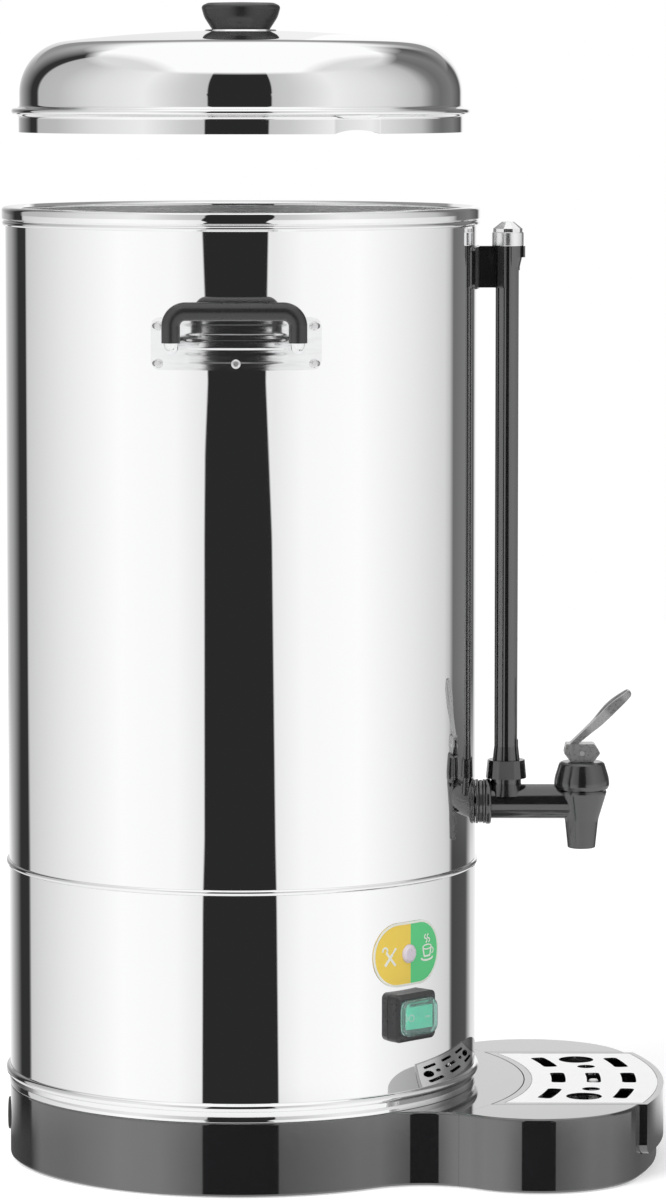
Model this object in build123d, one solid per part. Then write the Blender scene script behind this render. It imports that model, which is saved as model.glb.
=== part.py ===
"""Hot water urn: a double-walled stainless barrel on a moulded base, with a lever tap, a level gauge,
two carrying handles, a lift-off lid and a drip tray that slides out of the base.

Millimetres. The origin is on the barrel's axis at the level of the floor. +Z is up, and the tap and
the drip tray point to +X. The carrying handles are at -Y and +Y.
"""

from build123d import *
from math import acos, atan2, cos, degrees, hypot, pi, radians, sin, sqrt, tan
import os

# ---------------------------------------------------------------- barrel
BARREL_R = 136.0  # outside of the barrel's sheet
SHEET = 0.8  # stainless sheet
LOWER_H = 130.3  # lower shell, from the base to the seam
UPPER_H = 368.7  # upper shell, from the seam to the rim ring
BEAD_R = 1.6  # rolled bead at the seam
LOW_BEAD_UP = 8.4  # bead above the base
LOW_BEAD_R = 2.6
LOW_BEAD_SUNK = 0.3  # its middle inside the barrel's face
FOOT_BAND_H = 4.5  # thicker edge of the lower shell on the base
FOOT_BAND_PROUD = 0.5
NECK_DRAW = 6.0  # height in which the shell is drawn in to its neck
NECK_RISE = 4.0  # and the drawn part inside the neck
LAP = 8.0  # lower shell's neck inside the upper shell
AIR_GAP = 5.1  # between the barrel and the tank
RIM_H = 11.0  # rim ring
RIM_PROUD = 2.1  # rim ring beyond the barrel
RIM_SKIRT_T = 1.2  # ring's lower part beyond the barrel
RIM_SKIRT_H = 3.5
RIM_STEP_H = 0.6
FLANGE_DOWN = 3.8  # tank's flange below the ring's top
TANK_FLOOR_UP = 6.0  # tank's floor above the seam
TANK_CORNER_R = 2.4
TANK_DISH_H = 3.0  # upturned edge of the tank's floor
LUG_T = 1.8
LUG_H = 4.0
LUG_DOWN = 9.0  # lug's underside below the flange
FIT = 0.05  # radial clearance of a pin in its hole
SEAT = 0.1  # gap where curved pieces of one body lie on each other
PLAY = 0.3  # gap between pieces that move past each other

# ---------------------------------------------------------------- base
BASE_H = 43.0  # top of the base above the floor
FOOT_H = 0.5  # feet below the base
BASE_WALL = 3.0
BASE_EDGE_R = 1.5
LOBE_REACH = 242.5  # front of the lobe from the barrel's axis
LOBE_HALF = 125.0  # half of the lobe's width
LOBE_CORNER_R = 60.0
NECK_R = 50.0  # hollow bend between drum and lobe
SPIGOT_H = 5.0  # lip that centres the lower shell
SPIGOT_WALL = 2.0
SPIGOT_LEDGE = 6.0  # roof left inside the lip
SPIGOT_FLANGE_T = 1.5  # lip's flange on the roof
COVER_T = 1.2
COVER_UP = 2.0  # cover above the housing's lower edge
BOSS_R = 4.5
BOSS_IN_WALL = 0.5  # boss sunk in the wall beside it
SCREW_R = 1.6
SCREW_HEAD_R = 3.4
SCREW_HEAD_T = 1.4
SCREW_LONG = 10.0
FOOT_R = 9.0
FOOT_INSET = 30.0
FOOT_TAPER = 1.0
FOOT_STUB_R = 3.0
FOOT_BUTTON_R = 4.0  # stub's head inside the cover
FOOT_BUTTON_T = 1.5
VENT_COUNT = 12
VENT_LONG = 22.0
VENT_WIDE = 3.5

# ---------------------------------------------------------------- drip tray
TRAY_BACK_R = 165.0  # hollow back edge of the tray, about the barrel's axis
TRAY_HALF = 80.8  # half of the tray's width
TRAY_FRONT_R = 246.5  # curved front fascia
TRAY_DEEP = 29.5  # from the base's top to the tray's underside
TRAY_FLOOR_T = 2.2
FASCIA_T = 3.4
FASCIA_CORNER_R = 6.0
GRID_T = 1.2
GRID_EDGE = 4.5  # tray's rim round the grid
GRID_LEDGE = 1.6  # ledge that carries the grid
SLOT_WIDE = 8.3
SLOT_LONG = 30.0
SLOT_CORNER_R = 2.4
ROW_STEP = 20.6  # between the rows of openings
FIRST_ROW_R = 185.2
FIRST_ROW_STEP = 15.1  # between its slots, in degrees
LAST_ROW_STEP = 12.2
BIG_HOLE_R = 10.3
BIG_HOLE_AT = 16.0
SMALL_HOLE_R = 5.2
SMALL_HOLE_AT = 9.7
FLOAT_R = 9.0
FLOAT_H = 11.0
FLOAT_TIP_R = 2.8
FLOAT_TIP_DOWN = 0.8  # resting tip below the base's top
FLOAT_PIN_R = 1.5
FLOAT_PIN_UP = 4.0  # pin above the float's body

# ---------------------------------------------------------------- lid
LID_RAISED = 53.7  # the lid is held this far above its closed place
LID_SEAT_UP = 0.8  # closed lid's bead, its middle above the rim ring
LID_T = 0.9
LID_PLAY = 1.3  # skirt in the tank's mouth
SKIRT_H = 12.0
LID_BEAD_PROUD = 4.1
LID_BEAD_HALF = 1.7
LID_STEP = 0.5  # wall above the bead, inside the skirt's face
LID_WALL_H = 8.5  # upright wall above the bead
LID_DOME_H = 36.0  # dome above that wall
SHOULDER_R = 30.0
NOTCH_WIDE = 30.0
NOTCH_DEEP = 2.4
NOTCH_RISE = 2.2  # notch's lower edge above the skirt's
NOTCH_AT = -58.0  # direction of the first locking notch, in degrees
LUG_WIDE = 18.0
LID_ROOT_R = 2.2  # hollow bends beside the bead
PAD_R = 20.5  # raised pad under the knob
PAD_H = 0.5
KNOB_H = 15.7
KNOB_R = 23.0
KNOB_FOOT_R = 16.6
KNOB_SCREW_R = 2.5
KNOB_SCREW_IN = 10.0
KNOB_WASHER_R = 9.0
KNOB_WASHER_T = 1.5

# ---------------------------------------------------------------- tap
TAP_Z = 206.5
TAP_X_OUT = 62.0  # tap's upright axis beyond the barrel
SHANK_R = 9.0
SHANK_IN = 23.0  # shank inside the barrel's face
ARM_R = 10.0
PASSAGE_R = 5.0
WASHER_R = 13.0
WASHER_T = 5.6
COLLAR_R = 13.3
COLLAR_T = 3.5
COLLAR_EDGE_R = 1.4
BACK_NUT_R = 14.0
BACK_NUT_T = 5.0
SEAL_T = 2.0
SEAL_SAG = 0.8  # tank's curve across the seal
SPOUT_R = 8.05
SPOUT_DROP = 27.1  # below the arm's axis
SPOUT_BORE_R = 5.5
WAIST_R = 9.8  # body's waist above the spout
WAIST_DROP = 10.3
BODY_R = 14.6
BODY_EDGE = 0.4
BODY_EDGE_H = 1.2
BODY_TOP_UP = 6.8
THREAD_R = 12.6
THREAD_H = 7.0
CHAMBER_R = 10.6
SEAT_DROP = 8.0  # valve seat below the arm's axis
BONNET_R = 16.1
BONNET_TOP_R = 12.9
BONNET_EDGE = 0.9
BONNET_EDGE_H = 2.0
BONNET_BAND_H = 5.5  # where its side starts to lean in
BONNET_H = 15.7
BONNET_UP = 1.0  # bonnet above the body's top
BONNET_ROOF = 3.0
STEM_R = 2.5
STEM_FOOT_R = 4.7
STEM_FOOT_T = 2.5
STEM_EYE_R = 3.0
CUP_R = 8.4
CUP_H = 7.0
PIN_UP = 5.2  # lever's pin above the bonnet
PIN_R = 1.5
HUB_HALF = 10.5
HUB_FLAT = 6.5  # half of the hub's flat foot
HUB_WIDE = 13.0
LEVER_UP = 41.0  # degrees above level
LEVER_LONG = 48.0
LEVER_T = 4.6
PADDLE_WIDE = 17.0
SPRING_WIRE = 0.6
SPRING_TURNS = 5
SPRING_R = 4.9  # wire's middle from the stem's axis
SPRING_END = 0.2  # spring's ends off the cup and the bonnet

# ---------------------------------------------------------------- level gauge
GAUGE_OUT = 17.9  # gauge's axis beyond the barrel
GUARD_R = 7.0
GUARD_BORE_R = 5.3
GUARD_SLOT = 6.0
GLASS_R = 4.4
GLASS_T = 1.0
GLASS_UP = 3.0  # glass above the tap's water passage
GUARD_IN_NUT = 2.2
GAUGE_TOP_DOWN = 12.0  # guard's top below the rim ring
GUARD_SLOT_END = 14.0  # closed tube above and below the slot
GUARD_COLLAR_H = 12.0
GUARD_COLLAR_T = 1.3
GUARD_FLARE = 0.9
GUARD_FLARE_H = 8.0
GUARD_TAB_OUT = 3.0
GUARD_TAB_HALF = 3.5
GUARD_TAB_H = 6.5
NECK_TUBE_R = 8.75
NECK_WALL = 1.0
NECK_FLARE = 2.5  # neck's foot on the arm
NECK_FLARE_LOW = 4.0
NECK_FLARE_HIGH = 10.5
NECK_UP = 14.0  # seat of the nut above the arm's axis
NUT_R = 11.8
NUT_TOP_R = 10.8
NUT_H = 10.6
NUT_SIDES = 16
SEAL_R = 6.2
GAUGE_SEAL_H = 4.0
GLASS_IN_CAP = 5.0
CAP_R = 9.15
CAP_SHOULDER_R = 8.4
CAP_TOP_R = 3.4
CAP_BAND_H = 8.0
CAP_SHOULDER_H = 2.0
CAP_DOME_H = 5.9
CAP_SIDES = 10
VENT_R = 0.8
BRACKET_H = 24.0
BRACKET_HALF = 30.0
BRACKET_T = 1.6
BRACKET_NECK = 4.8
CLAMP_T = 1.3
CLAMP_END = 0.9  # clamp ends this far short of the guard's middle
BRACKET_SCREW_R = 1.2
BRACKET_SCREW_LONG = 8.0  # screw in the bracket's neck
BRACKET_SCREW_IN = 6.0  # screws below and above the bracket's ends
BRACKET_HEAD_R = 2.4
BRACKET_HEAD_T = 1.4

# ---------------------------------------------------------------- handles
HANDLE_UP = 437.0  # arms' axis above the base
HANDLE_OUT = 35.0  # grip's axis beyond the barrel
HANDLE_SPAN = 69.6  # between the grip's legs
HANDLE_RISE = 19.6  # bar above the arms
GRIP_R = 5.1
GRIP_BEND_R = 8.0
GRIP_FOOT_UP = 2.4  # legs' ends above the arms' axis
ARM_ROD_R = 4.0
ARM_BEND_R = 6.0
SOCKET_DEEP = 6.0  # arm in the leg, above its bend
PLATE_WIDE = 96.0
PLATE_HIGH = 29.0
PLATE_T = 1.2
RIB_T = 1.2
RIB_HIGH = 9.0
RIB_LONG = 58.0
ROOT_R = 8.6
RIVET_R = 1.6
RIVET_HEAD_R = 2.6
RIVET_HEAD_T = 1.1
RIVET_IN = 3.0  # rivets from the plate's ends
RIVET_LOW_IN = 3.6
RIVET_HIGH_IN = 4.6
RIVET_TAIL = 3.0  # rivet behind the plate
RIVET_LIFT = 0.35  # shank's end in the head

# ---------------------------------------------------------------- switch and status lamp
PANEL_AT = -45.0  # direction of lamp and switch, in degrees
LABEL_UP = 89.7  # label's centre above the base
LABEL_WIDE = 52.0
LABEL_HIGH = 36.0
LABEL_T = 0.5
LABEL_CORNER_R = 17.5
LENS_R = 5.3
LENS_DOME = 2.4
LENS_EDGE_H = 1.0
LAMP_BODY_R = 4.6
LAMP_BODY_LONG = 24.0
LAMP_NUT_R = 7.0
LAMP_NUT_AT = 5.5
LAMP_NUT_T = 2.0
LAMP_BLADE_LONG = 10.0
LAMP_BLADE_HIGH = 4.8
SWITCH_UP = 54.3
SWITCH_WIDE = 32.0
SWITCH_HIGH = 27.4
SWITCH_PROUD = 7.6
SWITCH_CORNER_R = 3.4
SWITCH_CHAMFER = 2.0
SWITCH_SKIRT = 6.0  # bezel's rim behind the barrel's face, before it is cut to the curve
SWITCH_BODY_WIDE = 25.0
SWITCH_BODY_HIGH = 18.2
SWITCH_BODY_DEEP = 20.0
BOOT_WIDE = 27.4
BOOT_HIGH = 20.6
BOOT_PROUD = 3.6
BOOT_CORNER_R = 5.4
BOOT_EDGE_R = 2.2
BOOT_WALL = 1.0
WELL_IN = 1.0  # well's edge inside the boot's outline
ROCKER_WIDE = 20.6
ROCKER_HIGH = 12.8
ROCKER_T = 4.0
ROCKER_TILT = 7.0  # each way, in degrees
ROCKER_RISE = 2.2  # rocker's ridge beyond the bezel
ROCKER_RIDGE = 0.5
ROCKER_FOOT = 1.8  # rocker's foot behind its pivot
ROCKER_FOOT_HALF = 3.4
ROCKER_PIVOT_R = 1.2
ROCKER_PIVOT_IN = 3.2  # pivot behind the bezel's face
SWITCH_WELL_DEEP = 5.4  # behind the pivot
SWITCH_CHEEK = 1.6  # body before the pivot
SWITCH_BLADE_AT = 8.0
SWITCH_BLADE_LONG = 9.0
SWITCH_BLADE_HIGH = 6.2
SWITCH_END_PLAY = 1.2  # beside the rocker's ends, for its swing

# ---------------------------------------------------------------- heating, wiring
SPREADER_R = 85.0
SPREADER_T = 5.0
ELEMENT_RING_R = 62.0
ELEMENT_R = 4.0
ELEMENT_GAP = 34.0  # degrees left open between its ends
ELEMENT_LEG = 26.0
ELEMENT_PIN = 12.0
ELEMENT_PIN_R = 1.2
BRIDGE_LONG = 150.0
BRIDGE_WIDE = 18.0
BRIDGE_T = 2.5
STUD_R = 3.0
STUD_LONG = 11.0  # stud below the element
STUD_NUT_R = 6.0
STUD_NUT_T = 5.0
STAT_R = 12.0
STAT_H = 8.0
STAT_NECK = 6.0
STAT_NECK_R = 9.0
STAT_BLADE_AT = 4.6
STAT_AT = 36.0
BLADE_WIDE = 6.3
BLADE_T = 0.8
BLADE_LONG = 9.0
BLOCK_SIZE = (18.0, 44.0, 16.0)
BLOCK_BACK = 42.0  # from the back of the base
BLOCK_HOLE_R = 3.0
BLOCK_STEP = 13.0
GLAND_UP = 22.0
GLAND_R = 7.0
GLAND_FACE_R = 9.5
GLAND_FACE_T = 3.0
GLAND_BORE_R = 3.75
GLAND_NOSE = 9.0  # bush outside the base
GLAND_GRIP = 6.6  # bush inside the base, to the far side of its nut
GLAND_TAIL = 2.0  # bush beyond the nut
GLAND_FACE_IN = 0.5

# ---------------------------------------------------------------- heights that follow
SEAM_Z = BASE_H + LOWER_H
RIM_Z = SEAM_Z + UPPER_H
TOP_Z = RIM_Z + RIM_H
TANK_FLOOR_Z = SEAM_Z + TANK_FLOOR_UP
TANK_R = BARREL_R - SHEET - AIR_GAP
MOUTH_R = TANK_R - SHEET
SPREADER_Z = TANK_FLOOR_Z - SPREADER_T
BRIDGE_Z = SPREADER_Z - 2 * ELEMENT_R
COVER_Z = FOOT_H + COVER_UP
FLANGE_Z = TOP_Z - FLANGE_DOWN
LID_BEAD_Z = TOP_Z + LID_SEAT_UP + LID_RAISED
SKIRT_R = MOUTH_R - LID_PLAY
DOME_FOOT_Z = LID_BEAD_Z + LID_BEAD_HALF + LID_WALL_H
DOME_TOP_Z = DOME_FOOT_Z + LID_DOME_H
PAD_Z = DOME_TOP_Z + PAD_H
TRAY_FLOOR_Z = BASE_H - TRAY_DEEP
GRID_Z = BASE_H - GRID_T
TAP_X = BARREL_R + TAP_X_OUT
BONNET_Z = TAP_Z + BODY_TOP_UP + BONNET_UP
BONNET_TOP_Z = BONNET_Z + BONNET_H
LEVER_PIN_Z = BONNET_TOP_Z + PIN_UP
GAUGE_X = BARREL_R + GAUGE_OUT
NUT_Z = TAP_Z + NECK_UP
NUT_TOP_Z = NUT_Z + NUT_H
GUARD_Z = NUT_TOP_Z - GUARD_IN_NUT
GUARD_TOP_Z = RIM_Z - GAUGE_TOP_DOWN
GLASS_Z = TAP_Z + PASSAGE_R + GLASS_UP
HANDLE_Z = BASE_H + HANDLE_UP
LABEL_Z = BASE_H + LABEL_UP
SWITCH_Z = BASE_H + SWITCH_UP


# ---------------------------------------------------------------- shared shapes
def corner_arc(before, corner, after, radius):
    """Start, middle and end of the arc that rounds a corner."""
    back = (before - corner).normalized()
    ahead = (after - corner).normalized()
    half = radians(back.get_angle(ahead) / 2)
    centre = corner + (back + ahead).normalized() * (radius / sin(half))
    reach = radius / tan(half)
    middle = centre + (corner - centre).normalized() * radius
    return corner + back * reach, middle, corner + ahead * reach


def outline(points):
    """Closed face through (x, y) points; a third number rounds that corner."""
    spots = [Vector(point[0], point[1]) for point in points]
    edges = []
    ends = []
    for index, point in enumerate(points):
        radius = point[2] if len(point) > 2 else 0
        corner = spots[index]
        if radius == 0:
            ends.append((corner, corner))
            continue
        following = spots[(index + 1) % len(points)]
        start, middle, end = corner_arc(spots[index - 1], corner, following, radius)
        edges.append(ThreePointArc(start, middle, end))
        ends.append((start, end))
    for index, (_, leave) in enumerate(ends):
        arrive = ends[(index + 1) % len(ends)][0]
        if (arrive - leave).length > 1e-6:
            edges.append(Line(leave, arrive))
    return make_face(edges)


def turned(points, x=0.0, y=0.0):
    """Body turned about an upright axis, from (radius, height) points."""
    return Pos(x, y, 0) * revolve(Plane.XZ * outline(points), Axis.Z)


def upright(radius, low, high, x=0.0, y=0.0):
    """Upright round bar between two heights."""
    return Pos(x, y, (low + high) / 2) * Cylinder(radius, high - low)


def level(radius, start, end, y=0.0, z=0.0):
    """Round bar along X between two places."""
    return Pos((start + end) / 2, y, z) * Rot(0, 90, 0) * Cylinder(radius, end - start)


def ring(outer, inner, low, high, x=0.0, y=0.0):
    """Upright tube between two heights."""
    return upright(outer, low, high, x, y) - upright(inner, low - 1, high + 1, x, y)


def block(x0, x1, y0, y1, z0, z1):
    """Box between two corners."""
    middle = Pos((x0 + x1) / 2, (y0 + y1) / 2, (z0 + z1) / 2)
    return middle * Box(x1 - x0, y1 - y0, z1 - z0)


def panel(wide, high, corner, start, end, z):
    """Rounded rectangular bar along X, centred on the height z."""
    face = Plane.YZ * RectangleRounded(wide, high, corner)
    return Pos(start, 0, z) * extrude(face, end - start)


def bead(radius, height, size=BEAD_R):
    """Rolled bead round the barrel: a ring of round section."""
    return Pos(0, 0, height) * Torus(radius, size)


def polar(radius, angle):
    """Plan position at a radius and a direction in degrees."""
    return radius * cos(radians(angle)), radius * sin(radians(angle))


def hexagon(across, low, high, x=0.0, y=0.0):
    """Upright hexagonal bar with the given radius over its corners."""
    return Pos(x, y, low) * extrude(RegularPolygon(across, 6), high - low)


# ---------------------------------------------------------------- plan of base and tray
def meeting(radius_a, centre, radius_b):
    """Front point at radius_a from the origin and radius_b from the centre."""
    far = hypot(*centre)
    turn = acos((radius_a**2 + far**2 - radius_b**2) / (2 * radius_a * far))
    angle = atan2(centre[1], centre[0]) - turn
    return radius_a * cos(angle), radius_a * sin(angle)


def toward(start, aim, reach):
    """Point on the line from start towards aim."""
    far = hypot(aim[0] - start[0], aim[1] - start[1])
    share = reach / far
    return start[0] + (aim[0] - start[0]) * share, start[1] + (aim[1] - start[1]) * share


def base_plan(inset=0.0):
    """Plan of the base, drum and lobe, with every wall moved in by the inset."""
    corner_y = LOBE_CORNER_R - LOBE_HALF
    corner_x = sqrt((LOBE_REACH - LOBE_CORNER_R) ** 2 - corner_y**2)
    corner = (corner_x, corner_y)
    neck = meeting(BARREL_R + NECK_R, corner, LOBE_CORNER_R + NECK_R)
    on_drum = toward((0, 0), neck, BARREL_R - inset)
    on_neck = toward(neck, ((on_drum[0] + corner[0]) / 2, (on_drum[1] + corner[1]) / 2), NECK_R + inset)
    on_corner = toward(corner, neck, LOBE_CORNER_R - inset)
    side = (corner_x, corner_y - LOBE_CORNER_R + inset)
    on_front = toward((0, 0), corner, LOBE_REACH - inset)
    right = [
        ThreePointArc((inset - BARREL_R, 0), polar(BARREL_R - inset, -110), on_drum),
        ThreePointArc(on_drum, on_neck, on_corner),
        ThreePointArc(on_corner, side, on_front),
    ]
    left = [mirror(edge, Plane.XZ) for edge in right]
    far_front = (on_front[0], -on_front[1])
    front = ThreePointArc(on_front, (LOBE_REACH - inset, 0), far_front)
    return make_face(right + left + [front])


def tray_plan(inset, front_r):
    """Plan of the tray: hollow back, straight sides and a front arc about the barrel's axis."""
    back_r = TRAY_BACK_R + inset
    half = TRAY_HALF - inset
    back_x = sqrt(back_r**2 - half**2)
    front_x = sqrt(front_r**2 - half**2)
    edges = [
        ThreePointArc((back_x, -half), (back_r, 0), (back_x, half)),
        Line((back_x, half), (front_x, half)),
        ThreePointArc((front_x, half), (front_r, 0), (front_x, -half)),
        Line((front_x, -half), (back_x, -half)),
    ]
    return make_face(edges)


def slab(face, low, high):
    """Plan face raised between two heights."""
    return Pos(0, 0, low) * extrude(face, high - low)


# ---------------------------------------------------------------- base
def boss_spots():
    """Places of the cover's screws: four round the drum, two in the lobe."""
    drum = [polar(BARREL_R - BASE_WALL - BOSS_R + BOSS_IN_WALL, angle) for angle in (75, 150, 210, 285)]
    lobe_x = sqrt((LOBE_REACH - LOBE_CORNER_R) ** 2 - (LOBE_HALF - LOBE_CORNER_R) ** 2)
    lobe_y = LOBE_HALF - BASE_WALL - BOSS_R + BOSS_IN_WALL
    return drum + [(lobe_x, lobe_y), (lobe_x, -lobe_y)]


def tray_round(gap):
    """Bar whose lower corners round the tray, or its pocket when the gap is wider."""
    wide = 2 * (TRAY_HALF + gap)
    high = 2 * (TRAY_DEEP + gap + PLAY)
    return panel(wide, high, FASCIA_CORNER_R + gap, 0, 2 * TRAY_FRONT_R, BASE_H)


def tray_pocket():
    """Space in the base that the tray slides into."""
    space = slab(tray_plan(-PLAY, LOBE_REACH + FASCIA_T), TRAY_FLOOR_Z - PLAY, BASE_H)
    return space & tray_round(PLAY)


def base_moulding():
    """Moulded base: drum and lobe in one, open below and cut out for the tray."""
    roof_z = BASE_H - BASE_WALL
    shell = slab(base_plan(), FOOT_H, BASE_H)
    rims = shell.faces().sort_by(Axis.Z)
    shell = fillet(rims[-1].edges() + rims[0].edges(), BASE_EDGE_R)
    shell -= slab(base_plan(BASE_WALL), 0, roof_z)
    shell -= upright(BARREL_R - BASE_WALL - SPIGOT_LEDGE, roof_z, BASE_H)
    shell -= tray_pocket()
    for x, y in boss_spots():
        boss = upright(BOSS_R, COVER_Z + COVER_T, roof_z, x, y)
        shell += boss - upright(SCREW_R + FIT, COVER_Z, COVER_Z + SCREW_LONG + 1, x, y)
    return shell - level(GLAND_R + SEAT, -BARREL_R, GLAND_GRIP - BARREL_R, 0, GLAND_UP)


def base_housing():
    """Drum of the base, out to the back of the tray."""
    return base_moulding() & upright(TRAY_BACK_R - PLAY, 0, BASE_H)


def base_lobe():
    """Lobe of the base round the tray: a cheek on either side and the sill below its front."""
    lobe = base_moulding() - upright(TRAY_BACK_R - PLAY + SEAT, 0, BASE_H)
    for y in (-TRAY_HALF, TRAY_HALF):
        lobe -= block(TRAY_BACK_R, LOBE_REACH, y, y + SEAT, 0, TRAY_FLOOR_Z)
    return lobe


def tray_bay():
    """Walls and floor of the tray's pocket, a moulding fixed under the base's roof."""
    low = TRAY_FLOOR_Z - PLAY - BASE_WALL
    high = BASE_H - BASE_WALL
    bay = slab(tray_plan(-PLAY - BASE_WALL, LOBE_REACH), low, high)
    bay &= slab(base_plan(BASE_WALL + SEAT), low, high)
    return bay - tray_pocket()


def centring_ring():
    """Moulded ring on the base's roof that centres the lower shell."""
    out = BARREL_R - SHEET - SEAT
    ledge = BARREL_R - BASE_WALL - SPIGOT_LEDGE
    return turned([
        (ledge, BASE_H),
        (out, BASE_H),
        (out, BASE_H + SPIGOT_H),
        (out - SPIGOT_WALL, BASE_H + SPIGOT_H),
        (out - SPIGOT_WALL, BASE_H + SPIGOT_FLANGE_T),
        (ledge, BASE_H + SPIGOT_FLANGE_T),
    ])


def base_cover():
    """Sheet cover that closes the base from below, with a ring of air slots."""
    plate = slab(base_plan(BASE_WALL + PLAY), COVER_Z, COVER_Z + COVER_T)
    for x, y in boss_spots():
        plate -= upright(SCREW_R + SEAT, COVER_Z, COVER_Z + COVER_T, x, y)
    for x, y in foot_spots():
        plate -= upright(FOOT_STUB_R + SEAT, COVER_Z, COVER_Z + COVER_T, x, y)
    slot = extrude(SlotOverall(VENT_LONG, VENT_WIDE), COVER_T)
    for index in range(VENT_COUNT):
        turn = Rot(0, 0, index * 360 / VENT_COUNT)
        plate -= turn * Pos(BARREL_R / 2, 0, COVER_Z) * slot
    return plate


def base_screws():
    """Six screws up through the cover into the housing's bosses."""
    screws = Part()
    for x, y in boss_spots():
        screws += upright(SCREW_HEAD_R, COVER_Z - SCREW_HEAD_T, COVER_Z, x, y)
        screws += upright(SCREW_R, COVER_Z, COVER_Z + SCREW_LONG, x, y)
    return screws


def foot_spots():
    """Places of the feet: one under the tank's middle, two at the back, two under the lobe."""
    middle = [(0, 0)]
    back = [polar(BARREL_R - FOOT_INSET, angle) for angle in (140, 220)]
    lobe = [(LOBE_REACH - 1.5 * FOOT_INSET, side * (LOBE_HALF - 1.5 * FOOT_INSET)) for side in (-1, 1)]
    return middle + back + lobe


def rubber_feet():
    """Five rubber feet, each held by a stub through the cover."""
    feet = Part()
    stub_top = COVER_Z + COVER_T
    for x, y in foot_spots():
        feet += turned([(0, 0), (FOOT_R - FOOT_TAPER, 0), (FOOT_R, COVER_Z), (0, COVER_Z)], x, y)
        feet += upright(FOOT_STUB_R, COVER_Z, stub_top, x, y)
        feet += upright(FOOT_BUTTON_R, stub_top, stub_top + FOOT_BUTTON_T, x, y)
    return feet


def cord_gland():
    """Bush for the mains cord at the back of the base, with a face outside and a nut inside."""
    bush = level(GLAND_R, -GLAND_NOSE, GLAND_GRIP + GLAND_TAIL)
    face = level(GLAND_FACE_R, -GLAND_FACE_T, GLAND_FACE_IN)
    face -= Pos(BARREL_R, 0, 0) * Cylinder(BARREL_R + SEAT, BASE_H)
    nut = level(GLAND_FACE_R, GLAND_GRIP - GLAND_FACE_T, GLAND_GRIP)
    bore = level(GLAND_BORE_R, -GLAND_NOSE, GLAND_GRIP + GLAND_TAIL)
    return Pos(-BARREL_R, 0, GLAND_UP) * (bush + face + nut - bore)


# ---------------------------------------------------------------- barrel
def panel_cutouts():
    """Openings in the lower shell for the lamp and the switch, along their direction."""
    lamp = level(LAMP_BODY_R + SEAT, BARREL_R - 10, BARREL_R + 10, 0, LABEL_Z)
    wide = SWITCH_BODY_WIDE + 2 * SEAT
    high = SWITCH_BODY_HIGH + 2 * SEAT
    switch = panel(wide, high, 1.5, BARREL_R - 15, BARREL_R + 10, SWITCH_Z)
    return Rot(0, 0, PANEL_AT) * (lamp + switch)


def lower_shell():
    """Lower barrel: sheet with a bead and a thicker foot, and a neck that fits in the upper shell."""
    out = BARREL_R
    neck = BARREL_R - SHEET - SEAT
    shoulder_z = SEAM_Z - BEAD_R - SEAT
    shell = turned([
        (out - SHEET, BASE_H),
        (out, BASE_H),
        (out, shoulder_z),
        (neck, shoulder_z),
        (neck, SEAM_Z + LAP),
        (neck - SHEET, SEAM_Z + LAP),
        (neck - SHEET, SEAM_Z - NECK_RISE),
        (out - SHEET, SEAM_Z - NECK_DRAW),
    ])
    roll = bead(out - LOW_BEAD_SUNK, BASE_H + LOW_BEAD_UP, LOW_BEAD_R)
    roll -= upright(out - SHEET, BASE_H, SEAM_Z)
    band = turned([
        (out - SEAT, BASE_H),
        (out + FOOT_BAND_PROUD, BASE_H),
        (out + SEAT, BASE_H + FOOT_BAND_H),
        (out - SEAT, BASE_H + FOOT_BAND_H),
    ])
    return shell + roll + band - panel_cutouts()


def upper_shell():
    """Upper barrel: sheet with the seam bead at its lower end."""
    shell = ring(BARREL_R, BARREL_R - SHEET, SEAM_Z - BEAD_R, FLANGE_Z)
    shell += bead(BARREL_R - SEAT, SEAM_Z) - upright(BARREL_R - SHEET, SEAM_Z - LAP, SEAM_Z + LAP)
    shell -= level(SHANK_R + SEAT, BARREL_R - 20, BARREL_R + 5, 0, TAP_Z)
    for z in bracket_screw_heights():
        shell -= level(BRACKET_SCREW_R + FIT, BARREL_R - 10, BARREL_R + 5, 0, z)
    for side in (-90, 90):
        for y, z in rivet_spots():
            hole = level(RIVET_R + FIT, BARREL_R - 10, BARREL_R + 5, y, z)
            shell -= Rot(0, 0, side) * hole
    return shell


def rim_ring():
    """Rolled ring over the mouth: it clasps the barrel's edge and covers the tank's flange."""
    out = BARREL_R
    lip_z = FLANGE_Z + SHEET
    profile = [
        (out + SEAT, RIM_Z),
        (out + RIM_SKIRT_T, RIM_Z),
        (out + RIM_SKIRT_T, RIM_Z + RIM_SKIRT_H),
        (out + RIM_PROUD, RIM_Z + RIM_SKIRT_H + RIM_STEP_H),
        (out + RIM_PROUD, TOP_Z - 0.6, 2.0),
        (out - 1.0, TOP_Z, 1.5),
        (MOUTH_R, TOP_Z - 1.6, 0.6),
        (MOUTH_R, lip_z),
        (out + SEAT, lip_z),
    ]
    roll = bead(out + 0.2, RIM_Z + BEAD_R) - upright(out + SEAT, RIM_Z - 5, RIM_Z + 9)
    return turned(profile) + roll


def inner_tank():
    """Tank's wall, rolled and welded, with a flange that rests on the barrel's edge."""
    wall = turned([
        (MOUTH_R, TANK_FLOOR_Z + TANK_DISH_H),
        (TANK_R, TANK_FLOOR_Z + TANK_DISH_H),
        (TANK_R, FLANGE_Z),
        (BARREL_R, FLANGE_Z),
        (BARREL_R, FLANGE_Z + SHEET),
        (MOUTH_R, FLANGE_Z + SHEET),
    ])
    return wall - level(SHANK_R + SEAT, MOUTH_R - 5, BARREL_R, 0, TAP_Z)


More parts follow.
